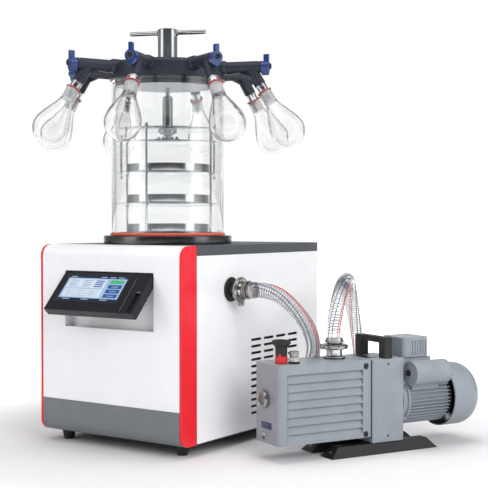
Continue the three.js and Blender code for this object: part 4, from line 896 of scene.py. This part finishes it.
def flask(index):
    """A blown pear flask, 2 mm thick in the bulb and ground thicker at its mouth."""
    angles = [math.radians(a) for a in range(4, 107, 6)]
    slope = [(37.0, 86), (34.6, 78.5), (31.2, 69.5), (27.2, 60), (23.0, 50.5), (19.0, 41.5), (16.2, 33.5)]
    outer = [(0, 139.0)] + [(39 * math.sin(t), 100 + 39 * math.cos(t)) for t in angles]
    ground = [(15.2, 27), (14.8, 12), (15, 1.0), (14.2, 0), (12.2, 0), (11.4, 1.0), (11.2, 14), (12.0, 28)]
    inner = [(r - 1.9, z + 1.0) for r, z in reversed(slope)]
    inner += [(37.1 * math.sin(t), 100 + 37.1 * math.cos(t)) for t in reversed(angles)] + [(0, 137.1)]
    form = Form(GLASS, FROSTED).lathe(outer + slope + ground + inner, 64)
    for face in form.mesh.faces:
        face.material_index = int(face.calc_center_median().z < 24)
    local = ARMS[index] @ BRANCH @ move(z=68.3)
    form.piece(f"glass_flask_{index + 1}", "flask_glass", f"flask_{index + 1}", 60, local=local)


base_ring()
cylinder()
lid()
for number in range(8):
    knob(number)
    flask(number)

# ------------------------------------------------------------------ rack, trays and press

RODS, GUIDES = (-77.9, 12.1, -167.9), (38.1, -141.9)  # degrees round the rack
CIRCLE, ROD, NUT, PLATE, THICK = 107, 2.5, 4.6, 117, 1.6
SCREW_CORE, SCREW_CREST, SCREW_PITCH = 9.8, 12.5, 5.5
SHELVES = (469, 534, 603)
BRIDGE, PRESS = 702, 672


def ringed(radius, angle):
    return move(radius * math.cos(math.radians(angle)), radius * math.sin(math.radians(angle)))


def disc(form, z):
    """A shelf's plate."""
    form.lathe([(0, z), (PLATE, z, 0.5), (PLATE, z + THICK, 0.5), (0, z + THICK)], 128, steps=3)


def rack():
    form = Form(POLISHED, TURNED)
    for angle in RODS:
        spot = ringed(CIRCLE, angle)
        form.mark(0).rod(ROD, 461.6, BRIDGE + 10.6, 20, 0.5, spot)
        for z in SHELVES:
            form.hexagon(NUT, z - 4.3, z - 0.3, spot)
        form.hexagon(NUT, BRIDGE + 1.6, BRIDGE + 5.6, spot)
        form.hexagon(NUT, BRIDGE - 4.2, BRIDGE - 0.2, spot)
        form.rod(4.8, BRIDGE + 5.6, BRIDGE + 6.2, 20, 0.1, spot)
    form.mark(1)
    form.ring([(13, BRIDGE), (PLATE, BRIDGE, 0.5), (PLATE, BRIDGE + THICK, 0.5), (13, BRIDGE + THICK)], 128)
    form.mark(0).ring([(13, BRIDGE - 10, 0.5), (17, BRIDGE - 10, 0.8), (17, BRIDGE - 7, 0.4),
        (21.5, BRIDGE - 7, 0.8), (21.5, BRIDGE + 1, 0.4), (17, BRIDGE + 3.2, 0.8), (13, BRIDGE + 3.2, 0.5)],
        64)
    for k in range(3):
        spot = ringed(18.0, 30 + 120 * k)
        form.hexagon(2.2, BRIDGE + 1, BRIDGE + 2.6, spot, 0.3)
    form.piece("rack_rods", "polished_steel", "rack_frame", 30)
    for k, z in enumerate(SHELVES):
        shelf = Form(TURNED)
        disc(shelf, z)
        shelf.piece(f"shelf_plate_{k + 1}", "steel", f"shelf_{k + 1}", 30)
        pan = Form(POLISHED)
        foot = z + 1.9
        pan.lathe([(0, foot), (96, foot, 2.4), (96, foot + 18.2, 0.4), (96.0, foot + 19, 0.4),
            (94.8, foot + 19, 0.4), (94.8, foot + 1.2, 1.4), (0, foot + 1.2)], 144)
        pan.piece(f"tray_pan_{k + 1}", "steel", f"tray_{k + 1}", 30)


def press():
    form = Form(TURNED, POLISHED)
    disc(form, PRESS)
    form.mark(1).ring([(8.4, PRESS + 4, 0.3), (8.4, PRESS + 10, 0.3), (11, PRESS + 15, 0.6),
        (13.5, PRESS + 15, 0.8), (13.5, PRESS + 10, 0.6), (29, PRESS + 10, 0.8), (29, PRESS + 1.2),
        (8.4, PRESS + 1.2)], 64)
    for k in range(4):
        form.hexagon(3.4, PRESS + 9.8, PRESS + 14.6, ringed(21.5, 25 + 90 * k), 0.5)
        form.rod(1.6, PRESS + 10, PRESS + 14.9, 12, 0.2, ringed(21.5, 25 + 90 * k))
    for angle in GUIDES:
        spot = ringed(CIRCLE, angle)
        form.rod(ROD, 590, PRESS + 6.6, 20, 0.5, spot)
        form.hexagon(NUT, 593.5, 597.5, spot)
        form.hexagon(NUT, PRESS + 1.6, PRESS + 5.6, spot)
    form.piece("press_disc", "steel", "press_plate", 30, body="press")


def thread(form, core, crest, start, stop, pitch, sides=40):
    """A ridge wound round a core, with plain ends."""
    rows = []
    steps = int((stop - start) / pitch * sides)
    for k in range(steps + 1):
        angle = 2 * math.pi * k / sides
        z = start + pitch * k / sides
        fade = min(1.0, k / sides, (steps - k) / sides)
        ridge = core + (crest - core) * fade
        section = ((core - 0.2, -0.46), (ridge, -0.26), (ridge, 0.26), (core - 0.2, 0.46))
        rows.append([(r * math.cos(angle), r * math.sin(angle), z + h * pitch) for r, h in section])
    form.loft(rows)


def feed_screw():
    form = Form(TURNED).lathe([(0, PRESS + 4.3), (8, PRESS + 4.3, 0.6), (8, BRIDGE - 12, 0.3),
        (SCREW_CORE, BRIDGE - 12, 0.8), (SCREW_CORE, BRIDGE + 75, 0.8), (5.4, BRIDGE + 75, 0.4),
        (5.4, BRIDGE - 5), (0, BRIDGE - 5)], 48)
    thread(form, SCREW_CORE, SCREW_CREST, BRIDGE - 11, BRIDGE + 74, SCREW_PITCH)
    form.piece("feed_thread", "steel", "feed_screw", 40, body="feed_screw")


def handle():
    form = Form(TURNED, POLISHED).mark(1).rod(5, BRIDGE + 5, 853.5, 32, 0.6)
    form.mark(0).lathe([(0, 852.9), (22.5, 852.9, 0.8), (22.5, 932.2), (20.8, 933.9, 0.6), (16, 933.9, 0.5),
        (15.4, 933.3), (0, 933.3)], 80)
    bar = move(z=925.9) @ turn(22.3, "Z") @ turn(90, "Y")
    form.mark(1).lathe([(0, -90), (5, -90, 1.6), (5, 90, 1.6), (0, 90)], 36, bar)
    for place in (bar, bar @ turn(180, "X")):
        form.ring([(5, 22.0), (7.4, 22.0, 0.5), (7.4, 24.6, 0.8), (5, 24.6)], 36, place)
    form.piece("tee_bar", "polished_steel", "tee_handle", 30, body="handle")


rack()
press()
feed_screw()
handle()

# ------------------------------------------------------------------ pump

SWITCH = move(390.6, 50, 224.3)
INLET = move(171, 57)
OIL = (227, 100, 36, 201)  # length, width, bottom, top
GLASS_PANE = clear_of("sight_pane", (236, 240, 238), 0.02, 1.45, fine=80)
OIL_DARK = finish_of("oil_dark", (96, 88, 66), 0.25, mottle=0.1, fine=300)
PLATE_BLACK = finish_of("plate_black", (26, 27, 30), 0.28, mottle=0.06, grain=0.05)
PLATE_BLUE = finish_of("plate_blue", (36, 58, 92), 0.3, mottle=0.05, grain=0.04)


def oil_box():
    length, width, bottom, top = OIL
    form = Form(PUMP_PAINT).prism([(0, 0, 10), (length, 0, 1), (length, width, 1), (0, width, 10)], bottom,
        top, steps=8)
    made = form.piece("oil_case", "pump_paint", "pump_oil_box", local=PUMP)
    tool = Form(PUMP_PAINT)
    for k in range(8):
        z = 50 + 17.4 * k
        slope = [(-1, z + 8.5), (7.5, z + 8.5), (7.5, z + 6.0), (0.5, z - 6.5), (-1, z - 6.5)]
        for flip in (False, True):
            side = [(width - y, h) for y, h in slope] if flip else slope
            near = [(24, y, h) for y, h in side]
            tip = [(18.5, min(y, 1.2) if not flip else max(y, width - 1.2), h) for y, h in side]
            tool.loft([tip, near, [(206, y, h) for y, h in side]])
    for z in (187, 43):
        tool.prism(rectangle(208, 220, z - 6.5, z + 6.5, 4), -1, 5, "Y")
    tool.rod(10, top - 6, top + 1, 48, 0, INLET)
    carve(made, tool, PUMP)
    round_edges(made, 1.3, 3, 30)

    fittings = Form(BLACK_PAINT, TURNED, PLATE_BLUE, POLISHED)
    for z in (187, 43):
        fittings.bolt(move(214, 4.8, z) @ turn(90, "X"), 4.4, 4.6)
        fittings.bolt(move(214, width - 0.2, z) @ turn(-90, "X"), 4.4, 3.0)
    fittings.slab((226.3, 228.0), (-1.5, 101.5), (33, 199.6), 0.3)
    fittings.ring([(12.2, 200.9), (23.6, 200.9, 0.5), (23.6, 203.4, 0.8), (12.2, 203.4)], 64, INLET)
    fittings.mark(1).ring([(12, 196), (22.5, 203, 0.4), (22.5, 205.6, 0.8), (17, 207.2, 2), (17, 221, 2),
        (22.5, 223.4, 0.6), (22.5, 226, 0.4), (12, 226)], 64, INLET)
    fittings.mark(2).slab((-0.5, 0.6), (30, 72), (66, 80), 0.35)
    fittings.mark(3).lathe([(0, -0.5), (7.5, -0.5), (7.5, 3.2, 0.8), (4, 3.2), (3.6, 1.6), (0, 1.6)], 40,
        move(0, 57, 50) @ turn(-90, "Y"))
    fittings.piece("oil_case_fittings", "polished_steel", local=PUMP)


def block_and_base():
    form = Form(PUMP_PAINT).slab((227.3, 309.3), (-5, 105), (22.3, 201), 3.2, 4)
    form.piece("pump_casting", "pump_paint", "pump_block", 40, local=PUMP)
    extras = Form(BLACK_PAINT, PLATE_BLACK)
    for z in (189, 36):
        extras.bolt(move(268, -5, z) @ turn(90, "X"), 2.6, 1.0)
        extras.bolt(move(268, 105, z) @ turn(-90, "X"), 2.6, 1.0)
    extras.mark(1).slab((232, 255), (20, 84), (200.6, 201.6), 0.3)
    extras.piece("pump_casting_trim", "black_paint", local=PUMP)

    rails = Form(BLACK_PAINT, POLISHED)
    for middle in (12, 88):
        rails.loft([
            [(x, y, z) for x, y, _ in rectangle(x0, x1, middle - half, middle + half)]
            for x0, x1, half, z in ((121, 396, 23.5, 0), (143, 374, 12.5, 22))
        ])
    rails.slab((229, 307), (12, 88), (16, 19), 0.5)
    rails.mark(1)
    for middle in (12, 88):
        for x, side in ((132, -1), (385, 1)):
            rails.bolt(move(x, middle, 11) @ turn(45 * side, "Y"), 3.0, 1.2)
    rails.piece("pump_rails", "black_paint", "pump_base", 30, local=PUMP, bevel=1.2)


def grip():
    outline = [(-5, 201.3, 0.5), (17, 201.3, 0.5), (17, 233.3, 1.5), (83, 233.3, 1.5),
        (83, 201.3, 0.5), (105, 201.3, 0.5), (105, 245.3, 4.5), (-5, 245.3, 4.5)]
    form = Form(RUBBER, POLISHED).prism(outline, 258.3, 278.3, "X")
    form.mark(1)
    for y in (6, 94):
        form.bolt(move(268.3, y, 245.3), 3.2, 0.6)
    form.piece("carry_grip", "black_paint", "pump_grip", 30, local=PUMP, bevel=1.2)


def motor():
    """The finned motor, about its own axis: z runs along it from the pump's block."""
    start, fins, end = 309.6, 325.6, 436.6
    form = Form(PUMP_PAINT, BLACK_PAINT, POLISHED).lathe([(0, start), (55.5, start, 1),
        (55.5, start + 5, 1), (52, start + 6, 1), (52, fins - 3, 1), (56.5, fins - 2, 1),
        (56.5, fins + 3, 1), (50, fins + 4), (50, end, 1), (0, end)], 96)
    for k in range(44):
        angle = 360 / 44 * k
        rib = [(49, -1.5), (57.2, -1.0, 0.8), (57.2, 1.0, 0.8), (49, 1.5)]
        form.prism(rib, fins + 2, end, "Z", turn(angle, "Z"), 2)
    for k in range(4):
        lug = turn(45 + 90 * k, "Z")
        form.slab((44, 60), (-6, 6), (start, start + 13), 2.0, 3, lug)
        form.mark(2)
        form.bolt(lug @ move(54, 0, start + 13), 3.4, 3.4)
        form.hexagon(4.4, start + 13, start + 16.5, lug @ move(54))
        form.mark(0)
    form.mark(1).ring([(46, end - 1), (57.4, end - 1), (57.4, end + 3.5), (46, end + 3.5)], 72)
    form.lathe([(0, end), (49, end), (49, end + 6), (0, end + 6)], 48)
    form.mark(0)
    for k in range(4):
        lug = turn(45 + 90 * k, "Z")
        form.slab((46, 67.2), (-5, 5), (end - 4, end + 10), 0.8, 2, lug)
    form.piece("motor_frame", "pump_paint", "pump_motor", 30, local=MOTOR)

    upper = Form(PUMP_PAINT, RUBBER, POLISHED).slab((318.6, 396.6), (14, 86), (140, 197), 2, 2)
    upper.slab((334, 407), (-2, 22), (128, 152), 2)
    can = move(322.6, -8.9, 166.0) @ turn(90, "Y")
    upper.lathe([(0, 1.2), (24.0, 1.2, 0.6), (24.0, 0, 0.4), (26.5, 0, 1.0), (26.5, 93, 3), (24, 96, 2),
        (0, 96)], 72, can)
    upper.mark(1).lathe([(0, -1.6), (7, -1.6, 0.6), (7, 1.4), (0, 1.4)], 32, can @ move(0, 6, 0))
    upper.mark(2).tube([(329, 26, 176), (322, 18, 172), (318, 8, 168), (321, -6, 166)], 1.2, 8)
    upper.piece("capacitor_can", "pump_paint", local=PUMP)


def fan_cover():
    start, stop = 438.6, 524.6
    face, bend = 31, 39
    form = Form(PUMP_PAINT)
    outer = [(70, start)] + arc(face, stop - bend, bend, 0, 90, 16) + [(0, stop)]
    inner = [(0, stop - 2)] + arc(face, stop - bend, bend - 2, 90, 0, 16) + [(68, start)]
    form.lathe(outer + inner, 112)
    made = form.piece("fan_hood", "pump_paint", "pump_fan_cover", 30, local=MOTOR)
    rim = Form(PUMP_PAINT).ring([(67.9, start, 0.3), (70, start, 0.3), (70, start + 1.5),
        (67.9, start + 1.5)], 112)
    rim.piece("fan_hood_rim", "pump_paint", local=MOTOR)
    tool = Form(PUMP_PAINT)
    for y in range(-24, 25, 8):
        reach = math.sqrt((face - 0.5)**2 - y**2)
        tool.prism(rectangle(-reach, reach, y - 2, y + 2, 1.9), stop - 8, stop + 2)
    carve(made, tool, MOTOR)
    fan = Form(RUBBER).rod(12, 470, 505, 32, 1)
    for k in range(9):
        fan.slab((10, 58), (-1, 1), (474, 500), 0.5, 1, turn(40 * k, "Z"))
    fan.piece("fan_wheel", "black_rubber", local=MOTOR)
    screws = Form(POLISHED)
    for k in range(4):
        screws.bolt(turn(45 + 90 * k, "Z") @ move(69.6, 0, start + 7) @ turn(90, "Y"), 2.8, 1.4)
    screws.piece("fan_hood_screws", "polished_steel", local=MOTOR)


def terminal_box():
    form = Form(PUMP_PAINT).prism(rectangle(320, 390, 12, 88, 9), 197.3, 240.3, steps=6)
    made = form.piece("terminal_case", "pump_paint", "pump_terminal_box", local=PUMP)
    tool = Form(PUMP_PAINT)
    for k in range(6):
        x = 378 - 7 * k
        tool.prism(rectangle(x, x + 3.5, 202.3, 233, 1.2), 10, 14, "Y")
        tool.prism(rectangle(x, x + 3.5, 202.3, 233, 1.2), 86, 90, "Y")
    tool.rod(13.4, -14.4, 14.4, 48, 0, SWITCH @ turn(90, "X"))
    carve(made, tool, PUMP)
    round_edges(made, 3.2, 3, 50)
    seam = Form(BLACK_PAINT, POLISHED).prism(rectangle(320.5, 389.5, 12.5, 87.5, 9), 196.4, 197.8, steps=6)
    seam.mark(1)
    for x, y in ((328, 20), (381, 20), (328, 80), (381, 80)):
        seam.bolt(move(x, y, 240.2), 2.4, 0.9)
    seam.piece("terminal_case_trim", "polished_steel", local=PUMP)


def rocker():
    outline = arc(0, 0, 13, 60, 300, 28) + [(10.5, 0)]
    form = Form(HOUSING, WHITE)
    place = SWITCH @ turn(8, "Y")
    form.prism(outline, -14, 14, "Y", place)
    form.mark(1).slab((9.0, 10.2), (-1.2, 1.2), (2.6, 5.6), 0.2, 1, place)
    form.piece("rocker", "housing_black", "pump_switch", 30, local=PUMP, body="pump_switch", bevel=0.6)


def sight_glass():
    form = Form(NICKEL, GLASS_PANE, OIL_DARK)
    place = move(0, 57, 127) @ turn(-90, "Y")
    form.ring([(12, 0.3), (19, 0.3, 0.5), (19, 6.4, 0.8), (17, 10, 1.0), (14.6, 10, 0.8), (13.4, 7.6, 0.4),
        (12, 7.2)], 64, place)
    form.mark(1).lathe([(0, 5.6), (13.2, 5.6), (13.2, 7.0), (0, 7.0)], 48, place)
    form.mark(2).lathe([(0, 0.4), (13.0, 0.4), (13.0, 1.2), (0, 1.2)], 48, place)
    form.piece("oil_window", "polished_steel", "pump_sight_glass", 30, local=PUMP)


def ballast():
    place = move(26, 35, 201.3)
    form = Form(BALLAST_RED, RUBBER).lathe([(0, 0), (13, 0, 0.6), (13, 14, 1.2), (11, 15.4), (0, 15.4)], 48,
        place)
    form.prism([(-5, 13, 0.5), (5, 13, 0.5), (0, 22, 1)], 11.2, 13.0, "X", place @ turn(-135, "Z"))
    form.mark(1).lathe([(0, 15), (12, 15.2, 0.6), (12.4, 30, 4), (14.5, 37, 4), (19.5, 40, 1.4),
        (19.5, 47, 1.4), (16.5, 48, 1), (9, 45.4, 3), (0, 44.4)], 64, place)
    made = form.piece("ballast_cap", "ballast_red", "pump_ballast_knob", local=PUMP, body="ballast_knob")
    tool = Form(BALLAST_RED, RUBBER).mark(1)
    for k in range(8):
        tool.rod(3.2, 34, 52, 20, 0, place @ turn(45 * k, "Z") @ move(21.6))
    carve(made, tool, PUMP)


def oil_plug():
    place = move(49, 22, 201.3)
    form = Form(NICKEL, RUBBER).mark(1).rod(12, 0, 3, 40, 0.8, place)
    form.mark(0).hexagon(11, 3, 14, place, 1.0)
    form.lathe([(0, 13.6), (8.4, 13.6), (8.4, 15.4, 0.4), (9.6, 16, 0.5), (9.6, 26, 1.6), (0, 26)], 40,
        place)
    made = form.piece("filler_plug", "polished_steel", "pump_oil_plug", 30, local=PUMP)
    tool = Form(NICKEL)
    for k in range(20):
        tool.rod(0.7, 17.5, 25, 8, 0, place @ turn(18 * k, "Z") @ move(9.8))
    carve(made, tool, PUMP)


oil_box()
block_and_base()
grip()
motor()
fan_cover()
terminal_box()
rocker()
sight_glass()
ballast()
oil_plug()
coupling("inlet_clamp", "inlet_coupling", PUMP @ INLET @ move(z=226.3) @ turn(200, "Z"), 22.8, 19)
